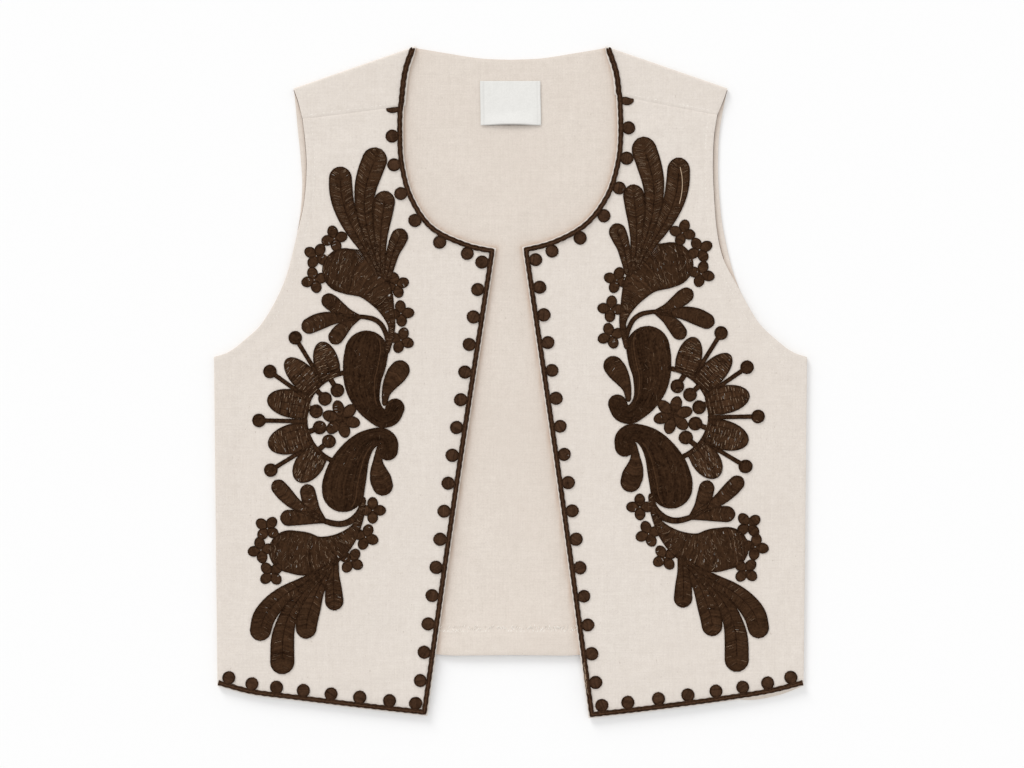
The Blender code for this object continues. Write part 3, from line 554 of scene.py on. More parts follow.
def backHalf(word):
    hem = hemBack[word]
    rows = backCells["sideRows"] + backCells["armholeRows"]
    shoulder = shoulderLine()[0]
    neck = smoothLine(neckBack + [tuple(shoulder[0])], backCells["neckColumns"])
    armhole = smoothLine(armholeBack[word] + [tuple(shoulder[-1])], backCells["armholeRows"])
    outer = joinLines(evenly([sideHem, sideTop], backCells["sideRows"]), armhole)
    inner = evenly([hem[0], neckBack[0]], rows)
    bottom = smoothLine(hem, backCells["neckColumns"] + backCells["shoulderColumns"])
    return patch(bottom, joinLines(neck, shoulder), inner, outer)


def neckToShoulder(shape, steps):
    return smoothLine(shape["neck"] + [shape["seamNeck"], neckYokeMiddle, tuple(shoulderLine()[0][0])], steps)


def shadeBesideFronts(plan):
    # painted shade: the back is a little darker and browner close beside the fronts and yokes
    shade = np.zeros(len(plan))
    for side, word in bothSides:
        shape = frontShapes[word]
        neck = neckToShoulder(shape, 40)
        inner = joinLines(frontEdge(shape, 30), neck)
        outer = smoothLine(shape["armhole"][4:] + [shape["seamArmhole"], armholeYokeMiddle, shoulderTip], 30)
        half = plan * [side, 1.0]
        near, wide = backShade["near"], backShade["wide"]
        away = distanceTo(half, inner)
        dark = backShade["line"] * np.exp(-((away / near) ** 2)) + backShade["soft"] * np.exp(-away / wide)
        shade = np.maximum(shade, dark)
        away = distanceTo(half, outer)
        shade = np.maximum(shade, backShade["line"] * np.exp(-((away / near) ** 2)))
    return np.clip(shade, 0.0, 1.0)


def makeBack():
    left = backHalf("left")
    right = backHalf("right") * [-1.0, 1.0]
    flat = np.concatenate([right[:, :0:-1], left], axis=1)
    rows, columns = flat.shape[0] - 1, flat.shape[1] - 1
    hemLine = flat[0]
    plan = flat.reshape(-1, 2)
    fromHem = distanceTo(plan, hemLine)
    wave = creaseHeight(plan, creases["back"])
    seen = np.exp(-((np.maximum(np.abs(plan[:, 0]) - backInside["seenTo"], 0.0) / backInside["fade"]) ** 2))
    raised = hemLiftOf(plan)
    inside = cloth["wall"] + wave * seen
    inside += backHem["thick"] * softStep((backHem["deep"] - fromHem) / backHem["soft"] + 0.5)
    fromStitch = (fromHem - backHem["deep"] + backHem["stitchBelow"]) / backHem["troughWide"]
    inside -= backHem["troughDeep"] * np.exp(-(fromStitch**2))
    paintedShade = [shadeBesideFronts(plan)]
    inside = np.minimum(inside, cloth["wall"] + backInside["most"] + seen) + raised
    inner = [np.column_stack([plan, inside])]
    outer = [np.column_stack([plan, np.maximum(wave * seen, 0.0) * backInside["belowShare"] + raised])]
    faces = [gridFaces(rows, columns)]
    count = len(plan)
    firstTop = rows * (columns + 1)
    shoulder, out, radius = shoulderLine()
    steps, across = backCells["foldSteps"], backCells["shoulderColumns"]
    halfGap = cloth["layerGap"] / 2
    for side, word in bothSides:
        layers = []
        for step in range(1, steps + 1):
            turn = math.pi * step / steps
            pair = []
            for bend in (halfGap, radius):
                line = shoulder + out * bend * math.sin(turn)
                pair.append(np.column_stack([line, np.full(len(line), radius - bend * math.cos(turn))]))
            layers.append(pair)
        shape = frontShapes[word]
        seam = evenly([shape["seamNeck"], shape["seamArmhole"]], across) + [0.0, -yokeEnds["seamGap"]]
        neck = smoothLine([tuple(shoulder[0]), neckYokeMiddle, tuple(seam[0])], backCells["yokeRows"])
        neck[:, 0] -= cloth["yokeStep"] * softStep(runOf(neck) / yokeEnds["neckSoft"])
        seam = evenly([tuple(neck[-1]), tuple(seam[-1])], across)
        armhole = smoothLine([tuple(shoulder[-1]), armholeYokeMiddle, tuple(seam[-1])], backCells["yokeRows"])
        for line in patch(shoulder, seam, neck, armhole)[1:]:
            rise = liftOf(line) + creaseHeight(line, creases[word])
            dip = edgeFinish["seamDip"] * yokeEnds["seamDip"]
            dip = dip * np.exp(-((distanceTo(line, seam) / edgeFinish["seamWide"]) ** 2))
            below, above = upperLow + rise, upperHigh + rise - dip
            layers.append([np.column_stack([line, below]), np.column_stack([line, above])])
        tip = firstTop + (columns if side == 1 else 0)
        below = np.arange(tip - side * across, tip + side, side)
        for inLine, outLine in layers:
            paintedShade.append(np.zeros(len(inLine)))
            inner.append(inLine * [side, 1.0, 1.0])
            outer.append(outLine * [side, 1.0, 1.0])
            above = np.arange(count, count + len(below))
            count += len(above)
            face = np.column_stack([below[:-1], below[1:], above[1:], above[:-1]])
            faces.append(face if side == 1 else face[:, ::-1])
            below = above
    below, above = placed(np.vstack(outer), 1), placed(np.vstack(inner), 1)
    made = wallBetween("back_cloth", np.vstack(faces), below, above, False, np.concatenate(paintedShade))
    bevelEdges(made, backCells["bevel"])
    made.data.materials.append(materials["linenInside"])
    made.data.materials.append(materials["linenOutside"])
    limits = outsideFaces
    seamUp = (frontShapes["right"]["seamArmhole"][1] - limits["underSeam"] - middleUp) * mm
    for face in made.data.polygons:
        across, up, high = abs(face.center.x), face.center.y, face.center.z
        onYoke = across > limits["beside"] * mm and up > seamUp and high > limits["above"] * mm
        onYoke = onYoke and face.normal.z > limits["facing"]
        if onYoke or (face.normal.z < limits["belowFacing"] and high < limits["below"] * mm):
            face.material_index = 1
    area = float(sum(p.area for p in made.data.polygons)) / 2
    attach(made, "root")
    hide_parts("back")
    return made, area


back, backArea = makeBack()
print("back area", round(backArea, 4))

# thread work, many stitches gathered into one mesh
rng = np.random.default_rng(17)
strandSizes = {"shortest": 0.3, "thick": 0.30, "lowest": 0.02, "twistTone": 0.10, "twistTurn": 1.7}


class ThreadWork:
    # gathers many short strands into one mesh
    def __init__(self, side, word):
        self.side, self.word = side, word
        self.points, self.faces, self.tones, self.count = [], [], [], 0

    def add(self, points, faces, tones):
        self.points.append(points)
        self.faces.append(np.asarray(faces) + self.count)
        self.tones.append(tones)
        self.count += len(points)

    def strand(self, path, heights, width, tone):
        # a low ridge of thread along a path on the front
        path = np.asarray(path, float)
        if runOf(path)[-1] < strandSizes["shortest"]:
            return
        beside = leftOf(path) * width / 2
        base = frontTop(path, self.word)
        low = base + np.maximum(heights - strandSizes["thick"], strandSizes["lowest"])
        high = base + heights
        rows = np.stack([np.column_stack([path + beside, low]), np.column_stack([path, high]),
                         np.column_stack([path - beside, low])], axis=1)
        faces = []
        for k in range(len(path) - 1):
            for j in range(2):
                a = k * 3 + j
                faces.append((a + 3, a + 4, a + 1, a) if self.side > 0 else (a, a + 1, a + 4, a + 3))
        self.add(rows.reshape(-1, 3), faces, np.full(len(path) * 3, tone))

    def cord(self, path, height, radius, tone, closed=False, sides=5, ply=0.14, twist=2):
        # a rounded cord lying on the front, its surface ridged by its twist
        path = np.asarray(path, float)
        beside = leftOf(path, closed)
        base = frontTop(path, self.word) + height
        count = len(path)
        turn = np.linspace(0.0, math.pi * 2, sides, endpoint=False)
        run = np.arange(count)[:, None]
        radius = np.broadcast_to(np.asarray(radius, float), (count,))[:, None]
        swell = radius * (1 + ply * np.cos(2 * turn[None] - run * math.pi / twist))
        if closed and count % 2:
            swell[-1] = (swell[0] + swell[-2]) / 2
        plan = path[:, None] + beside[:, None] * (np.cos(turn)[None] * swell)[:, :, None]
        tall = base[:, None] + np.sin(turn)[None] * swell
        points = np.concatenate([plan, tall[:, :, None]], axis=2).reshape(-1, 3)
        faces = []
        for k in range(count if closed else count - 1):
            following = (k + 1) % count
            for j in range(sides):
                a, b = k * sides + j, k * sides + (j + 1) % sides
                c, d = following * sides + (j + 1) % sides, following * sides + j
                faces.append((a, b, c, d) if self.side < 0 else (d, c, b, a))
        shade = tone + strandSizes["twistTone"] * np.sin(run * strandSizes["twistTurn"]) * np.ones((count, sides))
        self.add(points, faces, np.clip(shade.reshape(-1), 0.0, 1.0))

    def finish(self, name, material):
        points = placed(np.vstack(self.points), self.side)
        made = makeMesh(name, points, np.vstack(self.faces), np.concatenate(self.tones))
        made.data.materials.append(material)
        return made


def outlineOf(shape, inset=0.0):
    spine, half = shape["spine"], shape["half"]
    left = leftOf(spine) * half[:, None]
    loop = np.vstack([spine - left, (spine + left)[::-1]])
    keep = [0]
    for k in range(1, len(loop)):
        if np.linalg.norm(loop[k] - loop[keep[-1]]) > outlineSteps["least"]:
            keep.append(k)
    loop = np.vstack([loop[keep], loop[:1]])
    loop = evenly(loop, max(8, int(runOf(loop)[-1] / outlineSteps["step"])))[:-1]
    return loop + leftOf(loop, True) * inset


def slowNoise(count):
    # random numbers that change slowly along a row
    reach = slowTone["reach"]
    raw = rng.random(count + 2 * reach)
    kernel = np.hanning(2 * reach + 1)
    soft = np.convolve(raw, kernel / kernel.sum(), mode="valid")
    return (soft - 0.5) * slowTone["spread"] + 0.5


slowTone = {"reach": 2, "spread": 2.2}
outlineSteps = {"least": 0.25, "step": 1.1}
stitchSizes = {"pitch": 0.72, "overlap": 1.35, "edgeHigh": 0.38, "round": 0.94, "reach": 0.94}
edging = {"radius": 0.60, "inset": 0.80, "high": 0.55, "tone": 0.02}
# each way of filling a motif: how uneven its stitches are, and how their tone drifts and strays
acrossStitch = {"least": 0.5, "step": 3.0, "most": 8, "stop": 0.995, "dipWide": 0.16, "uneven": 0.035,
                "drift": 0.13, "stray": 0.11}
alongStitch = {"least": 0.5, "longest": 6.5, "wander": 0.6, "past": 0.1, "endsLow": (0.08, 0.0, 0.0, 0.0, 0.08),
               "lowest": 0.1, "uneven": 0.03, "drift": 0.18, "stray": 0.06}
slantedStitch = {"inset": 0.3, "long": 5.5, "wander": 0.5, "endsLow": (0.10, 0.0, 0.0, 0.10), "uneven": 0.03,
                 "drift": 0.28, "stray": 0.12}
openPlace = {"long": 1.2, "longer": 1.8, "most": 0.5, "shortest": 0.4, "near": 0.1}
# painted highlights: thin threads in the lit colour laid over the stitches
paintedHighlightThread = {"wide": 0.30, "widths": (0.6, 1.1), "starts": (0.06, 0.55), "lengths": (0.3, 0.7), "stop": 0.90,
               "above": 0.10, "tone": 1.05, "brighter": 0.95, "rare": 1.7}
scatter = {"within": 0.84, "lengths": (0.5, 2.2), "past": 0.3, "dome": 0.58, "above": 0.14}
ticks = {"from": 0.35, "to": 1.7, "share": 0.75, "stray": 0.12, "heights": (0.80, 1.02, 0.98), "tone": 0.35}


def fleckSpan(length, width, flecks):
    # sometimes a stitch lies open for a few millimetres and the cloth shows
    if rng.random() > flecks * length * width / 100.0:
        return None
    long = min(openPlace["long"] + rng.random() * openPlace["longer"], length * openPlace["most"])
    start = rng.random() * (length - long)
    return start, start + long


def layStitch(work, path, high, width, tone, flecks):
    run = runOf(path)
    opened = fleckSpan(run[-1], width, flecks)
    spans = [(0.0, run[-1])] if opened is None else [(0.0, opened[0]), (opened[1], run[-1])]
    for start, stop in spans:
        if stop - start < openPlace["shortest"]:
            continue
        inside = run[(run > start + openPlace["near"]) & (run < stop - openPlace["near"])]
        keep = np.concatenate([[start], inside, [stop]])
        work.strand(pickAlong(path, run, keep), np.interp(keep, run, high), width, tone)


def domeHeight(share, tall):
    # a stitch stands highest over the middle of its motif
    low = stitchSizes["edgeHigh"]
    return low + (tall - low) * np.sqrt(np.clip(1 - share**2 * stitchSizes["round"], 0.0, 1.0))


def stitchTone(shade, slow, sizes):
    return np.clip(shade + sizes["drift"] * (slow - 0.5) + rng.normal(0.0, sizes["stray"]), 0.0, 1.0)


def fillAcross(work, shape, kind):
    spine, half = shape["spine"], shape["half"]
    run = runOf(spine)
    side = leftOf(spine)
    sizes = acrossStitch
    count = max(3, int(run[-1] / stitchSizes["pitch"]))
    tones = slowNoise(count)
    for k in range(count):
        at = run[-1] * (k + 0.5) / count
        wide = float(np.interp(at, run, half))
        if wide < sizes["least"]:
            continue
        pieces = max(2, min(sizes["most"], int(wide * 2 / sizes["step"]) + 2))
        u = np.linspace(-1.0, 1.0, 2 * (pieces // 2) + 1)
        where = np.clip(at + kind["slant"] * np.abs(u) * wide, 0.0, run[-1] * sizes["stop"])
        reach = np.interp(where, run, half) * stitchSizes["reach"]
        centre, normal = pickAlong(spine, run, where), pickAlong(side, run, where)
        path = centre + normal * (u * reach)[:, None]
        high = domeHeight(u, kind["tall"]) * (1 - kind["dip"] * np.exp(-((u / sizes["dipWide"]) ** 2)))
        high = high + rng.normal(0.0, sizes["uneven"])
        tone = stitchTone(kind["shade"], tones[k], sizes)
        layStitch(work, path, high, stitchSizes["pitch"] * stitchSizes["overlap"], tone, kind["flecks"])
        for hand in (-1, 1):
            if rng.random() < kind["glints"]:
                glint(work, centre, normal * hand, u, reach, high)


def glint(work, centre, normal, u, reach, high):
    # one thin thread in the lit colour: a painted highlight on half of a stitch
    sizes = paintedHighlightThread
    start = rng.uniform(*sizes["starts"])
    stop = min(start + rng.uniform(*sizes["lengths"]), sizes["stop"])
    share = np.linspace(start, stop, 4)
    aside = (share * np.interp(share, u, reach))[:, None]
    path = pickAlong(centre, u, share) + pickAlong(normal, u, share) * aside
    rise = np.interp(share, u, high) + sizes["above"]
    width = sizes["wide"] * rng.uniform(*sizes["widths"])
    work.strand(path, rise, width, sizes["tone"] + sizes["brighter"] * rng.random() ** sizes["rare"])


def scatterGlints(work, shape, count, way, spread, bright):
    # short threads in the lit colour: painted highlights scattered over a closely stitched area
    spine, half = shape["spine"], shape["half"]
    side = leftOf(spine)
    chance = np.maximum(half, 0.0) * np.gradient(runOf(spine))
    for pick in rng.choice(len(spine), size=count, p=chance / chance.sum()):
        share = rng.uniform(-scatter["within"], scatter["within"])
        spot = spine[pick] + side[pick] * half[pick] * share
        turn = (math.atan2(side[pick][1], side[pick][0]) if way is None else way) + rng.normal(0.0, spread)
        reach = min(rng.uniform(*scatter["lengths"]), half[pick] * (1 - abs(share)) + scatter["past"])
        ends = np.outer([-reach, 0.0, reach], unitAt(turn))
        rise = stitchSizes["edgeHigh"] + scatter["dome"] * math.sqrt(1 - share**2) + scatter["above"]
        width = paintedHighlightThread["wide"] * rng.uniform(*paintedHighlightThread["widths"])
        work.strand(spot + ends, np.full(3, rise), width, 1.0 + bright * rng.random() ** 2)


def fillAlong(work, shape, kind):
    spine, half = shape["spine"], shape["half"]
    run = runOf(spine)
    side = leftOf(spine)
    sizes = alongStitch
    rows = max(2, int(half.max() * 2 / stitchSizes["pitch"]))
    tones = slowNoise(rows)
    first, last = run[half > 1.0][[0, -1]]
    for k in range(rows):
        share = -1 + 2 * (k + 0.5) / rows
        breaks = np.arange(first - rng.random() * sizes["longest"], last, sizes["longest"])
        breaks = np.append(breaks + rng.normal(0.0, sizes["wander"], len(breaks)), last)
        breaks = np.clip(breaks, first, last)
        for start, stop in zip(breaks[:-1], breaks[1:]):
            if stop - start < sizes["least"]:
                continue
            where = np.linspace(start, min(stop + sizes["past"], last), 5)
            reach = np.interp(where, run, half)
            aside = (share * reach * stitchSizes["reach"])[:, None]
            path = pickAlong(spine, run, where) + pickAlong(side, run, where) * aside
            high = domeHeight(share, kind["tall"]) - np.array(sizes["endsLow"]) + rng.normal(0.0, sizes["uneven"])
            tone = stitchTone(kind["shade"], tones[k], sizes)
            width = max(0.5, 2 * float(reach.mean()) / rows * stitchSizes["overlap"])
            layStitch(work, path, np.maximum(high, sizes["lowest"]), width, tone, kind["flecks"])


def fillSlanted(work, shape, way, kind):
    # rows of stitches in one direction, cut to the shape
    sizes = slantedStitch
    loop = outlineOf(shape, sizes["inset"])
    ahead = unitAt(way)
    beside = np.array([-ahead[1], ahead[0]])
    along, level = loop @ ahead, loop @ beside
    nextAlong, nextLevel = np.roll(along, -1), np.roll(level, -1)
    levels = np.arange(level.min() + sizes["inset"], level.max(), stitchSizes["pitch"])
    tones = slowNoise(len(levels))
    for row, here in enumerate(levels):
        crossing = (level > here) != (nextLevel > here)
        share = (here - level[crossing]) / (nextLevel[crossing] - level[crossing])
        meets = np.sort(along[crossing] + share * (nextAlong[crossing] - along[crossing]))
        for start, stop in zip(meets[::2], meets[1::2]):
            count = max(1, round((stop - start) / sizes["long"]))
            breaks = np.linspace(start, stop, count + 1)
            breaks[1:-1] += rng.normal(0.0, sizes["wander"], count - 1)
            for low, high in zip(breaks[:-1], breaks[1:]):
                at = np.linspace(low, high, 4)
                u = (2 * at - start - stop) / max(stop - start, 1e-6)
                rise = domeHeight(u, kind["tall"]) - np.array(sizes["endsLow"]) + rng.normal(0.0, sizes["uneven"])
                tone = stitchTone(kind["shade"], tones[row], sizes)
                path = np.outer(at, ahead) + here * beside
                width = stitchSizes["pitch"] * stitchSizes["overlap"]
                layStitch(work, path, rise, width, tone, kind["flecks"])


def edgeCord(work, shape, radius=edging["radius"], tone=edging["tone"]):
    work.cord(outlineOf(shape, radius * edging["inset"]), radius * edging["high"], radius, tone, closed=True)


def edgeTicks(work, shape, bright=0.5):
    # the ends of the filling stitches show as small ticks over the edge cord
    for start, stop in zip(outlineOf(shape, ticks["from"]), outlineOf(shape, ticks["to"])):
        if rng.random() < ticks["share"]:
            path = np.linspace(start, stop, 3) + rng.normal(0.0, ticks["stray"], 2)
            tone = ticks["tone"] + bright * rng.random()
            work.strand(path, np.array(ticks["heights"]), paintedHighlightThread["wide"], tone)


def layVeins(work, shape, rows, tall, hand=1):
    # cords along a motif, each row is (place across its half width, start, stop, share of its height, tone, radius)
    for share, start, stop, high, tone, radius in rows:
        spine = shape["spine"] + leftOf(shape["spine"]) * (shape["half"] * (share * hand))[:, None]
        run = runOf(spine)
        at = np.arange(run[-1] * start, run[-1] * stop, outlineSteps["step"])
        work.cord(pickAlong(spine, run, at), tall * high - radius * 0.5, radius, tone)


# motif shapes, all from a middle line and a half width
def discShape(middle, radius, way=0.0):
    share = np.cos(np.linspace(math.pi, 0.0, 13))
    half = radius * np.sqrt(np.clip(1 - share**2, 0, 1))
    return {"spine": np.array(middle) + np.outer(share * radius, unitAt(way)), "half": half}


def ovalShape(middle, length, width, way):
    shape = discShape((0.0, 0.0), 1.0)
    spine = np.array(middle) + np.outer(shape["spine"][:, 0] * length / 2, unitAt(way))
    return {"spine": spine, "half": shape["half"] * width / 2}


def strokeShape(knots):
    line = smoothLine(knots, max(4, int(runOf(np.array(knots, float))[-1] / 1.2)))
    spine, half = line[:, :2], line[:, 2]
    parts = []
    for end, inward in ((0, 1), (-1, -2)):
        away = spine[end] - spine[inward]
        away /= np.linalg.norm(away)
        share = np.sin(np.linspace(0.0, math.pi / 2, 9))[1:]
        cap = spine[end] + np.outer(share * half[end], away)
        parts.append((cap, half[end] * np.sqrt(np.clip(1 - share**2, 0, 1))))
    spine = np.vstack([parts[0][0][::-1], spine, parts[1][0]])
    half = np.concatenate([parts[0][1][::-1], half, parts[1][1]])
    return {"spine": spine, "half": half}


def petalShape(root, tip, width):
    reach = np.sin(np.linspace(0.0, math.pi / 2, 22))
    half = np.minimum(daisy["foot"] + daisy["widening"] * reach, 1.0) * width / 2
    closing = np.clip((reach - daisy["roundFrom"]) / (1 - daisy["roundFrom"]), 0.0, 1.0)
    return {"spine": root + np.outer(reach, tip - root), "half": half * np.sqrt(1 - closing**2)}


# each knot is (across, up, half width)
strokes = {
    "upperLeafOuter": [(108, 88, 3.0), (117, 105, 4.0), (124.5, 118, 6.0), (131, 131, 7.8), (135.5, 144, 9.0),
                       (137.3, 155, 9.5), (137.7, 164, 9.2)],
    "upperLeafTall": [(105, 88, 3.5), (112, 108, 4.5), (116.6, 126, 6.0), (118.4, 142, 7.4), (117.3, 156, 9.0),
                      (114, 168, 10.0), (110, 178.6, 10.2)],
    "upperLeafMiddle": [(105, 88, 4.0), (105.3, 108, 4.8), (104.8, 122, 6.4), (103.6, 134, 8.0),
                        (102, 145, 8.6)],
    "upperLeafInner": [(100, 84, 3.6), (97.6, 94, 4.4), (95, 104, 5.4), (92.2, 111, 6.6), (89.8, 116.3, 7.0)],
    "upperDrop": [(134.2, 89.2, 18.2), (124, 86.5, 18.6), (113, 79, 15.0), (105, 68, 10.5), (99.5, 56, 5.8),
                  (96.2, 44, 3.0), (97.5, 33, 2.4), (99.5, 24, 2.0)],
    "upperStem": [(98.5, 30, 2.2), (101, 38.5, 2.0), (104.6, 45.5, 2.0), (110.5, 49.8, 2.0),
                  (119, 51.6, 1.8), (124, 51.6, 1.8)],
    "upperSprigHigh": [(122, 51.5, 1.8), (131, 54.5, 3.6), (139, 59, 5.6), (144, 62.6, 6.4),
                       (146.8, 64.6, 6.2)],
    "upperSprigMiddle": [(122, 51.5, 1.8), (132, 51, 3.0), (141, 50.8, 4.6), (149, 49.6, 6.2),
                         (156.5, 47.2, 6.9), (162.6, 44.4, 6.5)],
    "upperSprigLow": [(123, 51, 2.0), (131, 46.5, 4.2), (137.5, 40.2, 6.0), (141.2, 35.4, 6.2)],
    "upperPaisley": [(116.5, 23, 17.6), (118.2, 13, 17.4), (119.6, 2, 15.6), (118.5, -9, 13.4),
                     (114.8, -19.5, 10.2), (109, -27, 8.0), (103, -30.5, 7.7), (96.5, -28.5, 7.6),
                     (93.3, -22, 7.6)],
    "upperSeed": [(89.5, 8.6, 8.0), (93, 4, 8.0), (97.5, -3, 6.0), (100.6, -10, 3.6), (101.8, -18, 2.2)],
    "lowerPaisley": [(135.2, -89, 17.2), (134.8, -84, 17.4), (131.5, -72, 16.2), (126, -60, 13.0),
                     (119, -51, 10.0), (111, -46, 7.6), (104, -45.8, 7.8), (99.5, -50, 8.4),
                     (99.2, -56.2, 8.2)],
    "lowerSeed": [(103.4, -84.6, 8.3), (105.2, -79, 8.6), (106.9, -72, 6.6), (107.3, -65, 4.0),
                  (106.6, -55, 2.0)],
    "lowerStem": [(153, -112.5, 2.2), (144, -115.2, 2.4), (137, -115.8, 2.5), (130.5, -114, 2.7),
                  (125, -110, 2.8), (121, -104, 2.6), (119, -96, 2.0)],
    "lowerDrop": [(178.4, -138, 17.2), (166, -140, 17.6), (153, -139.6, 14.2), (141, -134.5, 10.6),
                  (131.5, -127, 7.0), (124.5, -118, 3.8), (120.5, -108, 2.4), (118.8, -97, 2.0)],
    "lowerSprigHigh": [(152, -112, 2.4), (160, -107.8, 2.8), (168, -103.5, 3.8), (176, -98, 5.4),
                       (183, -91, 6.4), (187.4, -86, 6.2)],
    "lowerSprigMiddle": [(152, -112, 2.6), (158.5, -105, 5.0), (162, -98, 6.3), (164, -90, 6.3)],
    "lowerSprigLow": [(152, -113, 2.4), (161, -111.5, 4.6), (170, -110.8, 6.0), (179.6, -110.9, 6.6)],
    "lowerLeafOuter": [(145, -149, 3.0), (157, -158.5, 4.6), (170.4, -166, 5.9), (182.6, -173, 7.2),
                       (192.4, -181.5, 8.4), (199.5, -191.5, 9.1), (202.3, -201.8, 8.6)],
    "lowerLeafTall": [(145.5, -149, 3.0), (158, -161, 4.2), (168.8, -173, 5.2), (177, -185, 6.6),
                      (182, -197.5, 8.0), (184.4, -210, 9.4), (184.7, -227.6, 9.8)],
    "lowerLeafMiddle": [(146, -149.5, 3.0), (151.5, -160, 4.4), (157, -171, 6.2), (161.5, -183, 8.2),
                        (164.4, -193, 8.8), (165.3, -200.2, 8.4)],
    "lowerLeafInner": [(142.6, -147, 3.8), (143.2, -157, 4.8), (143.2, -167, 6.6), (142.6, -178.2, 7.5)],
}

# each flower is (across, up, turn in degrees, how much nearer the edge it is drawn with its spray)
flowers = [(142.5, 115, 76, 0.0), (157, 101, 30, 0.0), (158.7, 81.5, 75, 0.0), (92.6, 77.5, 72, 0.7),
           (88.6, 54.4, 85, 0.7), (88.6, 32.8, 20, 0.5), (196.8, -119.4, 38, 0.2), (202.0, -137.0, 80, 0.4),
           (193.6, -156, 48, 0.2), (111.5, -104.8, 90, 0.4), (117.2, -126.4, 20, 0.2), (129, -145.5, 32, 0.0)]
flowerSizes = {"petals": 4, "reach": 10.8, "long": 10.3, "wide": 8.8, "tall": 0.85}
rosette = {"across": 136.8, "up": -31.0, "turn": 15, "petals": 6, "reach": 15.6, "long": 12.8, "wide": 9.6,
           "tall": 0.95, "heart": 3.4}
petalEdge = 0.55
heartEdge = {"radius": 0.5, "tone": 0.10}

# half daisy: petals are (across, up, tip across, tip up, width, way of the stitches)
daisy = {"across": 129.0, "up": -30.5, "ring": 37.3, "ringHalf": 2.0, "ringFrom": -66.0, "ringTo": 81.0,
         "ringEdge": 0.6, "foot": 0.82, "widening": 0.6, "roundFrom": 0.42}
petals = [(145.5, 2, 153.5, 31.5, 20.4, -25), (157.5, -8, 181.5, 17.5, 20.0, -44),
          (162.5, -21.5, 196.8, -14.5, 23.0, 99), (162.5, -43, 196, -52.5, 24.0, 74),
          (155.5, -58, 173, -81, 22.5, 112)]
# its stamens and knobs are pins from foot to head
stamens = {"half": 1.9, "head": 5.5, "edge": 0.55, "headEdge": 0.75, "rows": [
    (153.5, 1, 174.1, 34.8), (163, -15, 194.6, 7.5), (166, -32.8, 203.5, -32.1), (164, -54, 193.9, -72.3),
]}
knobs = {"half": 2.3, "head": 5.6, "edge": 0.5, "headEdge": 0.7, "rows": [
    (146, 2, 140, -7.8), (157.5, -7, 150, -14.6), (164, -21.5, 157.2, -24.7), (163.5, -41.5, 154.3, -37.8),
    (155.5, -56, 146.8, -49),
]}
pinTurn = {"waist": 0.92, "head": 0.9}
layPlace = {"drawnFrom": 180.0, "drawnUp": -45.0, "drawnReach": 160.0, "bowFrom": 90.0}
# parts of the left spray that lie a little further in or up, rows are (across, up, reach, move across, move up)
nudges = {
    "left": [(140, 0, 1000, -0.85, 0.5), (150, 85, 42, -1.7, 1.1), (175, -102, 26, -1.6, 0.4),
             (110, 150, 40, 0.0, -1.2)],
    "right": [],
}


def settle(shape, word):
    # a shape where it lies on one front
    lay = frontShapes[word]["lay"]
    across, up = shape["spine"][:, 0], shape["spine"][:, 1]
    drawn = lay["drawn"] + lay["slant"] * (layPlace["drawnFrom"] - across)
    drawn = drawn * np.exp(-((up - layPlace["drawnUp"]) / layPlace["drawnReach"]) ** 2)
    raised = lay["raised"] + lay["stretch"] * up + lay["bow"] * np.maximum(up - layPlace["bowFrom"], 0.0) ** 2
    for middleAcross, middleRise, reach, moveAcross, moveUp in nudges[word]:
        near = np.exp(-((across - middleAcross) ** 2 + (up - middleRise) ** 2) / reach**2)
        drawn = drawn - moveAcross * near
        raised = raised + moveUp * near
    return {"spine": np.column_stack([across - drawn, up + raised]), "half": shape["half"]}


# how each kind of motif is stitched: height, slant of the stitches, dip along the vein,
# flecks to a square centimetre, tone, and how many stitches get a painted highlight
kinds = {
    "upperleaf": {"tall": 0.95, "slant": 0.42, "dip": 0.30, "flecks": 0.15, "shade": 0.34, "glints": 0.55},
    "leaf": {"tall": 0.95, "slant": 0.30, "dip": 0.30, "flecks": 0.15, "shade": 0.32, "glints": 0.10},
    "sprig": {"tall": 0.85, "slant": 0.35, "dip": 0.20, "flecks": 0.3, "shade": 0.34, "glints": 0.12},
    "drop": {"tall": 1.00, "slant": 0.15, "dip": 0.00, "flecks": 0.5, "shade": 0.27, "glints": 0.06},
    "seed": {"tall": 0.90, "slant": 0.30, "dip": 0.00, "flecks": 0.1, "shade": 0.30, "glints": 0.04},
    "stem": {"tall": 0.80, "slant": 0.00, "dip": 0.00, "flecks": 0.0, "shade": 0.24, "glints": 0.0},
    "paisley": {"tall": 1.05, "flecks": 0.04, "shade": 0.16},
    "flower": {"slant": 0.2, "dip": 0.0, "flecks": 0.4, "shade": 0.38, "glints": 0.0},
    "daisy": {"tall": 0.9, "flecks": 1.2, "shade": 0.38},
}
veins = {
    "leaf": [(0.0, 0.04, 0.88, 0.80, 0.0, 0.42), (-0.48, 0.03, 0.44, 0.72, 0.04, 0.32),
             (0.46, 0.03, 0.48, 0.72, 0.04, 0.32)],
    "paisley": [(0.64, 0.10, 0.72, 0.92, 0.52, 0.70), (0.45, 0.10, 0.72, 0.92, 0.0, 0.34),
                (0.82, 0.10, 0.72, 0.92, 0.0, 0.30)],
    "daisy": [(0.0, 0.05, 0.74, 0.85, 0.03, 0.42), (-0.5, 0.03, 0.60, 0.78, 0.02, 0.34),
              (0.5, 0.03, 0.60, 0.78, 0.02, 0.34)],
}
# painted highlight threads over a motif: count, way, spread of the way and brightness
scattered = {"drop": (190, None, 0.45, 0.8), "paisley": (60, None, 1.5, 0.35), "daisy": (80, 0.12, 0.95)}
paisleyHand = {"upperPaisley": -1, "lowerPaisley": 1}
# the outer leaf on the left front has its middle line left light
openVein = {"left": [(137.2, 172.8), (138.6, 166.0), (139.0, 158.0), (138.2, 150.0), (136.6, 143.0)]}
openVeinThread = {"above": 0.25, "wide": 0.55, "tone": 2.0}


def kindOf(name):
    return next(kind for kind in kinds if kind in name.lower())


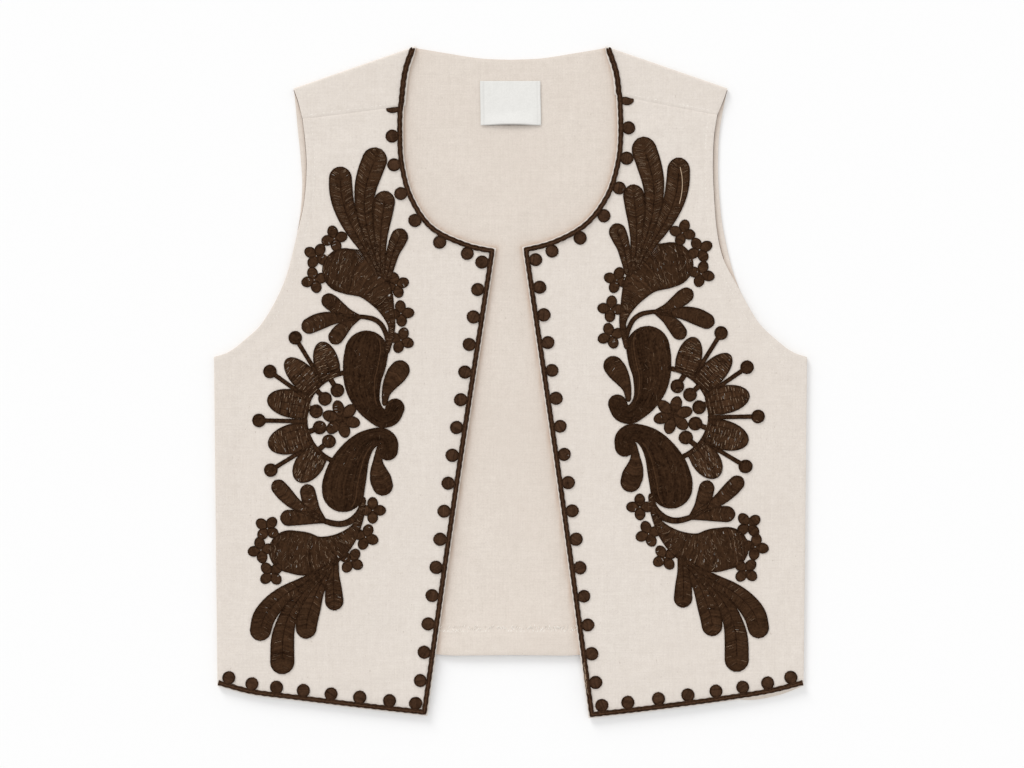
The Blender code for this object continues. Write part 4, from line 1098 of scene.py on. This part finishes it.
def makeStrokes(work, word):
    for name, knots in strokes.items():
        kindName = kindOf(name)
        kind = kinds[kindName]
        shape = settle(strokeShape(knots), word)
        if kindName == "paisley":
            fillAlong(work, shape, kind)
        else:
            fillAcross(work, shape, kind)
        if kindName in scattered:
            scatterGlints(work, shape, *scattered[kindName])
        if "leaf" in kindName:
            layVeins(work, shape, veins["leaf"], kind["tall"])
        if kindName == "paisley":
            layVeins(work, shape, veins["paisley"], kind["tall"], paisleyHand[name])
        edgeCord(work, shape)
        if kindName != "stem":
            edgeTicks(work, shape)
    if word in openVein:
        vein = smoothLine(openVein[word], 20)
        high = np.full(len(vein), kinds["leaf"]["tall"] + openVeinThread["above"])
        work.strand(vein, high, openVeinThread["wide"], openVeinThread["tone"])


def makePins(work, word, sizes):
    for across, up, tipAcross, tipUp in sizes["rows"]:
        half = sizes["half"]
        way = math.atan2(tipUp - up, tipAcross - across)
        waist = ((across + tipAcross) / 2, (up + tipUp) / 2, half * pinTurn["waist"])
        stem = settle(strokeShape([(across, up, half), waist, (tipAcross, tipUp, half)]), word)
        head = settle(discShape((tipAcross, tipUp), sizes["head"], way + pinTurn["head"]), word)
        for shape, kind, edge in ((stem, "stem", sizes["edge"]), (head, "seed", sizes["headEdge"])):
            fillAcross(work, shape, kinds[kind])
            edgeCord(work, shape, edge)


def makeDaisy(work, word):
    kind = kinds["daisy"]
    count, spread, bright = scattered["daisy"]
    for across, up, tipAcross, tipUp, width, way in petals:
        shape = settle(petalShape(np.array([across, up]), np.array([tipAcross, tipUp]), width), word)
        fillSlanted(work, shape, math.radians(way), kind)
        scatterGlints(work, shape, count, math.radians(way), spread, bright)
        layVeins(work, shape, veins["daisy"], kind["tall"])
        edgeCord(work, shape)
        edgeTicks(work, shape)
    makePins(work, word, stamens)
    turns = np.radians(np.linspace(daisy["ringFrom"], daisy["ringTo"], 70))
    ring = [daisy["across"], daisy["up"]] + daisy["ring"] * np.column_stack([np.cos(turns), np.sin(turns)])
    shape = settle({"spine": ring, "half": np.full(len(ring), daisy["ringHalf"])}, word)
    fillAcross(work, shape, kinds["stem"])
    edgeCord(work, shape, daisy["ringEdge"])
    makePins(work, word, knobs)


def makeFlower(work, word, spot, sizes):
    across, up, turn, extra = spot
    middle = np.array([across - extra * frontShapes[word]["lay"]["drawn"], up])
    for k in range(sizes["petals"]):
        way = math.radians(turn) + 2 * math.pi * k / sizes["petals"]
        petalMiddle = middle + unitAt(way) * (sizes["reach"] - sizes["long"] / 2)
        petal = settle(ovalShape(petalMiddle, sizes["long"], sizes["wide"], way), word)
        fillAcross(work, petal, {**kinds["flower"], "tall": sizes["tall"]})
        edgeCord(work, petal, petalEdge)


def makeEmbroidery(side, word):
    work = ThreadWork(side, word)
    makeStrokes(work, word)
    makeDaisy(work, word)
    for spot in flowers:
        makeFlower(work, word, spot, flowerSizes)
    makeFlower(work, word, (rosette["across"], rosette["up"], rosette["turn"], 0.0), rosette)
    heart = settle(discShape((rosette["across"], rosette["up"]), rosette["heart"]), word)
    fillAcross(work, heart, kinds["stem"])
    edgeCord(work, heart, **heartEdge)
    made = work.finish("embroidery_" + word + "_thread", materials["satinThread"])
    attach(made, "root")
    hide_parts("embroidery_" + word)
    return made


# the double cord along each front, with a thin ridge of stitches between its two strands
cord = {"width": 4.0, "rim": 0.9, "radius": 1.06, "step": 0.8, "apart": 0.93, "high": 0.5, "tone": 0.16,
        "ply": 0.16, "endWide": 0.35, "endLong": 1.6, "yokeShift": 0.55, "yokeWider": 0.10, "yokeStep": 1.2}
ridge = {"radius": 0.54, "high": 0.87, "tone": 0.95, "ply": 0.24}
# a fine brown line along the upper armhole edge, laid as a thin cord
armholeBrownLine = {"radius": 0.26, "thin": 0.3, "thick": 1.4, "inwards": 0.15, "high": -1.25, "tone": 1.9}
dotSizes = {"radius": 5.35, "uneven": 0.06, "turn": 0.5, "edge": 0.66, "halfEdge": 0.5, "tone": 0.04, "ticks": 0.25,
            "halfRound": 0.97, "overSeam": 0.1}
dotKind = {"tall": 1.05, "slant": 0.0, "dip": 0.0, "flecks": 0.12, "shade": 0.44, "glints": 0.0}


def offsetLine(line, inwards):
    edge = np.diff(line, axis=0)
    edge /= np.linalg.norm(edge, axis=1)[:, None]
    edge = np.vstack([edge[:1], edge, edge[-1:]])
    normal = np.column_stack([edge[:, 1], -edge[:, 0]])
    both = normal[:-1] + normal[1:]
    return line + both / np.maximum((both * both).sum(1) / 2, 0.2)[:, None] * inwards


def placeAlong(line, distance, inwards):
    length = runOf(line)
    spots = [np.array([np.interp(distance + d, length, line[:, k]) for k in range(2)]) for d in (-1, 0, 1)]
    way = (spots[2] - spots[0]) / np.linalg.norm(spots[2] - spots[0])
    return spots[1] + np.array([way[1], -way[0]]) * inwards, math.atan2(-way[0], way[1])


def seamDot(shape):
    # the part of a dot that shows below the yoke seam
    start = np.array(shape["seamNeck"])
    along = np.array(shape["seamArmhole"]) - start
    along /= np.linalg.norm(along)
    down = np.array([along[1], -along[0]])
    share = np.linspace(-1.0, 1.0, 14)
    deep = shape["seamDot"] * np.sqrt(1 - share**2 * dotSizes["halfRound"])
    middle = np.outer(shape["dots"]["neck"][3] + share * dotSizes["radius"], along)
    return {"spine": start + middle + np.outer(deep / 2 + dotSizes["overSeam"], down), "half": deep / 2}


# a few light threads have come loose from the cord near one hem corner
loose = {"from": 20.0, "to": 38.0, "count": 9, "stray": 1.5, "lengths": (4.0, 9.0), "inwards": 1.9, "beside": 0.45,
         "wave": 0.3, "waves": 0.9, "high": 1.95, "highWave": 0.1, "wide": 0.42, "tone": 1.9, "darker": 0.5}


def looseThreads(work, line, sizes):
    run = runOf(line)
    starts = np.linspace(sizes["from"], sizes["to"], sizes["count"])
    for start in starts + rng.normal(0.0, sizes["stray"], sizes["count"]):
        at = np.linspace(start, start + rng.uniform(*sizes["lengths"]), 7)
        path = pickAlong(line, run, at)
        aside = rng.normal(0.0, sizes["beside"]) + sizes["wave"] * np.sin(at * sizes["waves"] + start)
        path = path + leftOf(path) * aside[:, None]
        high = sizes["high"] + sizes["highWave"] * np.sin(at)
        work.strand(path, high, sizes["wide"], sizes["tone"] - sizes["darker"] * rng.random())


def yokeShare(line, shape):
    # 0 on the front and 1 on the yoke
    return softStep((line[:, 1] - shape["seamNeck"][1]) / cord["yokeStep"] + 0.5)


def makeCords(side, word):
    work = ThreadWork(side, word)
    shape = frontShapes[word]
    shoulder = shoulderLine()[0]
    hem = smoothLine(shape["hem"][::-1], 60)
    edge = frontEdge(shape, 60)
    neck = neckToShoulder(shape, 60)
    whole = joinLines(hem, edge, neck)
    middle = cord["rim"] + cord["width"] / 2
    yoke = yokeShare(whole, shape)
    for share in (-cord["apart"], cord["apart"]):
        beside = middle + share * cord["radius"] * (1 + cord["yokeWider"] * yoke) - cord["yokeShift"] * yoke
        line = offsetLine(whole, beside[:, None])
        line = evenly(line, int(runOf(line)[-1] / cord["step"]))[:-1]
        fromEnd = runOf(line)[-1] - runOf(line)
        wider = 1 + cord["yokeWider"] * yokeShare(line, shape)
        closing = np.sqrt(cord["endWide"] + fromEnd / cord["endLong"])
        radius = cord["radius"] * np.minimum(wider, closing)
        work.cord(line, cord["radius"] * cord["high"], radius, cord["tone"], sides=8, ply=cord["ply"], twist=4)
    line = offsetLine(whole, (middle - cord["yokeShift"] * yoke)[:, None])
    line = evenly(line, int(runOf(line)[-1] / cord["step"]))[:-3]
    high = cord["radius"] * ridge["high"]
    work.cord(line, high, ridge["radius"], ridge["tone"], sides=6, ply=ridge["ply"], twist=4)
    thread = armholeBrownLine
    armhole = smoothLine(shape["armhole"][5:] + [shape["seamArmhole"], armholeYokeMiddle, tuple(shoulder[-1])], 90)
    radius = thread["radius"] * np.linspace(thread["thin"], thread["thick"], len(armhole))
    work.cord(offsetLine(armhole, thread["inwards"]), thread["high"], radius, thread["tone"])
    if word == "left":
        looseThreads(work, offsetLine(edge, loose["inwards"]), loose)
    rows = ((neck, "neck", 1), (edge[::-1], "edge", -1), (hem[::-1], "hem", -1), (edge, "corner", 1))
    for line, key, hand in rows:
        first, pitch, grow, inwards, count = shape["dots"][key]
        for k in range(count):
            spot, way = placeAlong(line, first + pitch * k + grow * k**2, hand * inwards)
            radius = dotSizes["radius"] + rng.normal(0.0, dotSizes["uneven"])
            dot = discShape(spot, radius, way + rng.normal(0.0, dotSizes["turn"]))
            fillAcross(work, dot, dotKind)
            edgeCord(work, dot, dotSizes["edge"], dotSizes["tone"])
            edgeTicks(work, dot, dotSizes["ticks"])
    half = seamDot(shape)
    fillAcross(work, half, dotKind)
    edgeCord(work, half, dotSizes["halfEdge"], dotSizes["tone"])
    made = work.finish("cord_" + word + "_thread", materials["cordThread"])
    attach(made, "root")
    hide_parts("cord_" + word)
    return made


threadPieces = {"left": [], "right": []}
for side, word in bothSides:
    threadPieces[word].append(makeEmbroidery(side, word))
    threadPieces[word].append(makeCords(side, word))
    print("thread work", word, [len(o.data.polygons) for o in threadPieces[word]])

# the bare label, its places as shares of its half width and half height
label = {"width": 49.0, "height": 36.0, "thick": 0.35, "up": 224.8, "above": 0.02, "cuts": 36, "bevel": 0.22,
         "curl": 1.3, "curlSteep": 1.4, "curlFrom": 0.4, "curlRound": 0.7, "wave": 0.12, "waves": 4.0,
         "fold": 0.90, "foldThick": 0.35, "foldSoft": 0.05, "lean": 0.25, "leans": 2.0}
# painted shadow: a dark line along the label's lifted bottom edge, deepest in the middle, with a fainter row above
# it
labelShade = {"hem": 0.99, "hemRound": 0.6, "band": 0.93, "bandDark": 0.45, "bandWide": 0.7, "foldWide": 0.03,
              "foldDark": 0.07, "side": 0.99, "sideDark": 0.10}


def labelRise(across, down):
    rise = label["curl"] * softStep(down * label["curlSteep"] - label["curlFrom"])
    rise *= max(0.0, 1 - across**2) ** label["curlRound"]
    rise += label["wave"] * math.sin(across * label["waves"]) * softStep(down)
    return rise + label["foldThick"] * softStep((abs(across) - label["fold"]) / label["foldSoft"])


# painted shadow along the bottom edge, and faint darker lines at the folds and the sides
def labelTone(across, down):
    shaded = 0.0
    if down > labelShade["hem"]:
        shaded = max(0.0, 1 - across**2) ** labelShade["hemRound"]
    elif labelShade["band"] < down < labelShade["hem"]:
        shaded = labelShade["bandDark"] * max(0.0, 1 - (across / labelShade["bandWide"]) ** 2)
    if abs(abs(across) - label["fold"]) < labelShade["foldWide"]:
        shaded = max(shaded, labelShade["foldDark"])
    return max(shaded, labelShade["sideDark"] if abs(across) > labelShade["side"] else 0.0)


def makeLabel():
    bpy.ops.object.select_all(action="DESELECT")
    low = cloth["wall"] + cloth["layerGap"] + label["above"]
    bpy.ops.mesh.primitive_plane_add(size=1.0, location=(0.0, (label["up"] - middleUp) * mm, low * mm))
    made = bpy.context.object
    made.name = made.data.name = "neck_label_cloth"
    made.scale = (label["width"] * mm, label["height"] * mm, 1.0)
    bpy.ops.object.transform_apply(location=True, rotation=True, scale=True)
    bpy.ops.object.mode_set(mode="EDIT")
    bpy.ops.mesh.select_all(action="SELECT")
    bpy.ops.mesh.subdivide(number_cuts=label["cuts"])
    bpy.ops.object.mode_set(mode="OBJECT")
    layer = made.data.attributes.new("tone", "FLOAT", "POINT")
    for vertex in made.data.vertices:
        across = vertex.co.x / mm / (label["width"] / 2)
        down = (label["up"] - middleUp - vertex.co.y / mm) / (label["height"] / 2)
        layer.data[vertex.index].value = labelTone(across, down)
        vertex.co.z += labelRise(across, down) * mm
        vertex.co.x += label["lean"] * mm * math.sin(down * label["leans"])
    applyModifier(made, "SOLIDIFY", thickness=label["thick"] * mm, offset=1.0)
    bevelEdges(made, label["bevel"])
    bpy.ops.object.select_all(action="DESELECT")
    made.data.polygons.foreach_set("use_smooth", [True] * len(made.data.polygons))
    made.data.materials.append(materials["labelWeave"])
    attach(made, "root")
    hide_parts("neck_label")
    return made


neckLabel = makeLabel()
print("label made")

# topstitching along the armholes, the yoke seams and the back hem
topstitch = {"long": 2.5, "wide": 0.55, "flat": 0.7, "pitch": 3.3, "stray": 0.04, "seamUp": 2.6, "seamDown": 0.1,
             "armholeHigh": 0.5}
# the back hem is closed by a fine zigzag
zigzag = {"pitch": 0.20, "turn": 1.25, "stray": 0.25, "wide": 3.2, "across": 84.0, "up": -222.0, "sag": 0.6,
          "high": 0.6, "down": 0.02}


def oneStitch():
    # one stitch, modelled once and copied along each row
    bpy.ops.object.select_all(action="DESELECT")
    bpy.ops.mesh.primitive_uv_sphere_add(segments=6, ring_count=4, radius=0.5, rotation=(0.0, math.pi / 2, 0.0))
    made = bpy.context.object
    bpy.ops.object.transform_apply(location=True, rotation=True, scale=True)
    made.scale = (topstitch["long"], topstitch["wide"], topstitch["wide"] * topstitch["flat"])
    bpy.ops.object.transform_apply(location=True, rotation=True, scale=True)
    points = np.array([v.co[:] for v in made.data.vertices])
    # sorted, because the ball gives its faces in another order on each run
    faces = sorted(tuple(p.vertices) for p in made.data.polygons)
    bpy.data.objects.remove(made, do_unlink=True)
    return points, faces


def stitchRows():
    # each row is (side, line, heights), and side 0 is the zigzag over the middle
    rows = []
    for side, word in bothSides:
        shape = frontShapes[word]
        armhole = smoothLine(shape["armhole"] + [shape["seamArmhole"]], 120)
        armhole = offsetLine(armhole, -edgeFinish["armholeStitch"])[6:]
        seam = evenly([shape["seamNeck"], shape["seamArmhole"]], 40) + [0.0, topstitch["seamUp"]]
        above = edgeFinish["turnThick"] * topstitch["armholeHigh"]
        rows.append((side, armhole, lambda p, w=word, a=above: frontTop(p, w) + a - edgeFinish["troughDeep"]))
        rows.append((side, seam[3:-1], lambda p, w=word: frontTop(p, w) - topstitch["seamDown"]))
    up = backHem["deep"] - backHem["stitchBelow"]
    ends = zigzag["up"] - zigzag["sag"] + up
    hem = smoothLine([(-zigzag["across"], ends), (0.0, zigzag["up"] + up), (zigzag["across"], ends)], 60)
    inside = cloth["wall"] + backHem["thick"] * zigzag["high"]
    rows.append((0, hem, lambda p: inside + creaseHeight(p, creases["back"]) + hemLiftOf(p) - zigzag["down"]))
    return rows


def makeStitchRows():
    stitch, stitchFaces = oneStitch()
    points, faces, tones, count = [], [], [], 0
    for side, line, height in stitchRows():
        length = runOf(line)
        crossed = 1.0 if side == 0 else 0.0
        pitch = topstitch["pitch"] * (zigzag["pitch"] if crossed else 1.0)
        side = side or 1
        at = np.arange(pitch, length[-1] - pitch, pitch)
        spots = pickAlong(line, length, at)
        ahead = pickAlong(line, length, at + 1.0) - spots
        for k, (spot, way, z) in enumerate(zip(spots, ahead, height(spots))):
            turn = math.atan2(way[1], way[0]) + rng.normal(0.0, topstitch["stray"] + crossed * zigzag["stray"])
            turn += crossed * (zigzag["turn"] if k % 2 else -zigzag["turn"])
            spot = spot + [0.0, crossed * rng.uniform(-zigzag["wide"], zigzag["wide"])]
            cos, sin = unitAt(turn)
            across, along, high = stitch.T
            moved = np.column_stack([across * cos - along * sin, across * sin + along * cos, high]) + [*spot, z]
            points.append(placed(moved, side))
            for face in stitchFaces:
                face = tuple(c + count for c in face)
                faces.append(face if side > 0 else face[::-1])
            tones.append(np.full(len(moved), rng.random()))
            count += len(moved)
    made = makeMesh("topstitching", np.vstack(points), faces, np.concatenate(tones))
    made.data.materials.append(materials["sewingThread"])
    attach(made, "root")
    return made


stitching = makeStitchRows()
print("stitches made", len(stitching.data.polygons))

# stage, light and camera
stage = {"floor": (0.93, 0.93, 0.93), "floorSize": 8.0, "floorDown": 0.2, "rough": 0.9, "specular": 0.1,
         "world": 0.875, "key": 1.45, "keyAngle": 24.0, "keyHigh": 24.0, "keyWay": 119.0, "keyAt": (-1.0, 1.0, 1.2)}
view = {"lens": 85.0, "sensor": 36.0, "pixels": 1024, "scale": 0.8094, "across": 1.2, "up": -2.63, "plane": 3.3}

bpy.ops.object.select_all(action="DESELECT")
bpy.ops.mesh.primitive_plane_add(size=stage["floorSize"], location=(0.0, 0.0, -stage["floorDown"] * mm))
floor = bpy.context.object
floor.name = "floor"
paper = bpy.data.materials.new("paper")
paper.use_nodes = True
paperShader = paper.node_tree.nodes["Principled BSDF"]
paperShader.inputs["Base Color"].default_value = (*stage["floor"], 1.0)
paperShader.inputs["Roughness"].default_value = stage["rough"]
paperShader.inputs["Specular IOR Level"].default_value = stage["specular"]
floor.data.materials.append(paper)

world = bpy.data.worlds.new("studio")
bpy.context.scene.world = world
world.use_nodes = True
world.node_tree.nodes["Background"].inputs["Color"].default_value = (1.0, 1.0, 1.0, 1.0)
world.node_tree.nodes["Background"].inputs["Strength"].default_value = stage["world"]

keyData = bpy.data.lights.new("key", "SUN")
keyData.energy = stage["key"]
keyData.angle = math.radians(stage["keyAngle"])
key = bpy.data.objects.new("key", keyData)
key.rotation_euler = (math.radians(90.0 - stage["keyHigh"]), 0.0, math.radians(stage["keyWay"] + 90.0))
key.location = stage["keyAt"]
bpy.context.scene.collection.objects.link(key)

cameraData = bpy.data.cameras.new("camera")
cameraData.lens = view["lens"]
cameraData.sensor_width = view["sensor"]
cameraData.sensor_fit = "HORIZONTAL"
camera = bpy.data.objects.new("camera", cameraData)
distance = view["pixels"] * view["scale"] * view["lens"] / view["sensor"]
camera.location = (view["across"] * mm, (view["up"] - middleUp) * mm, (view["plane"] + distance) * mm)
bpy.context.scene.collection.objects.link(camera)
bpy.context.scene.camera = camera
bpy.context.scene.view_settings.view_transform = "Standard"
print("stage ready")
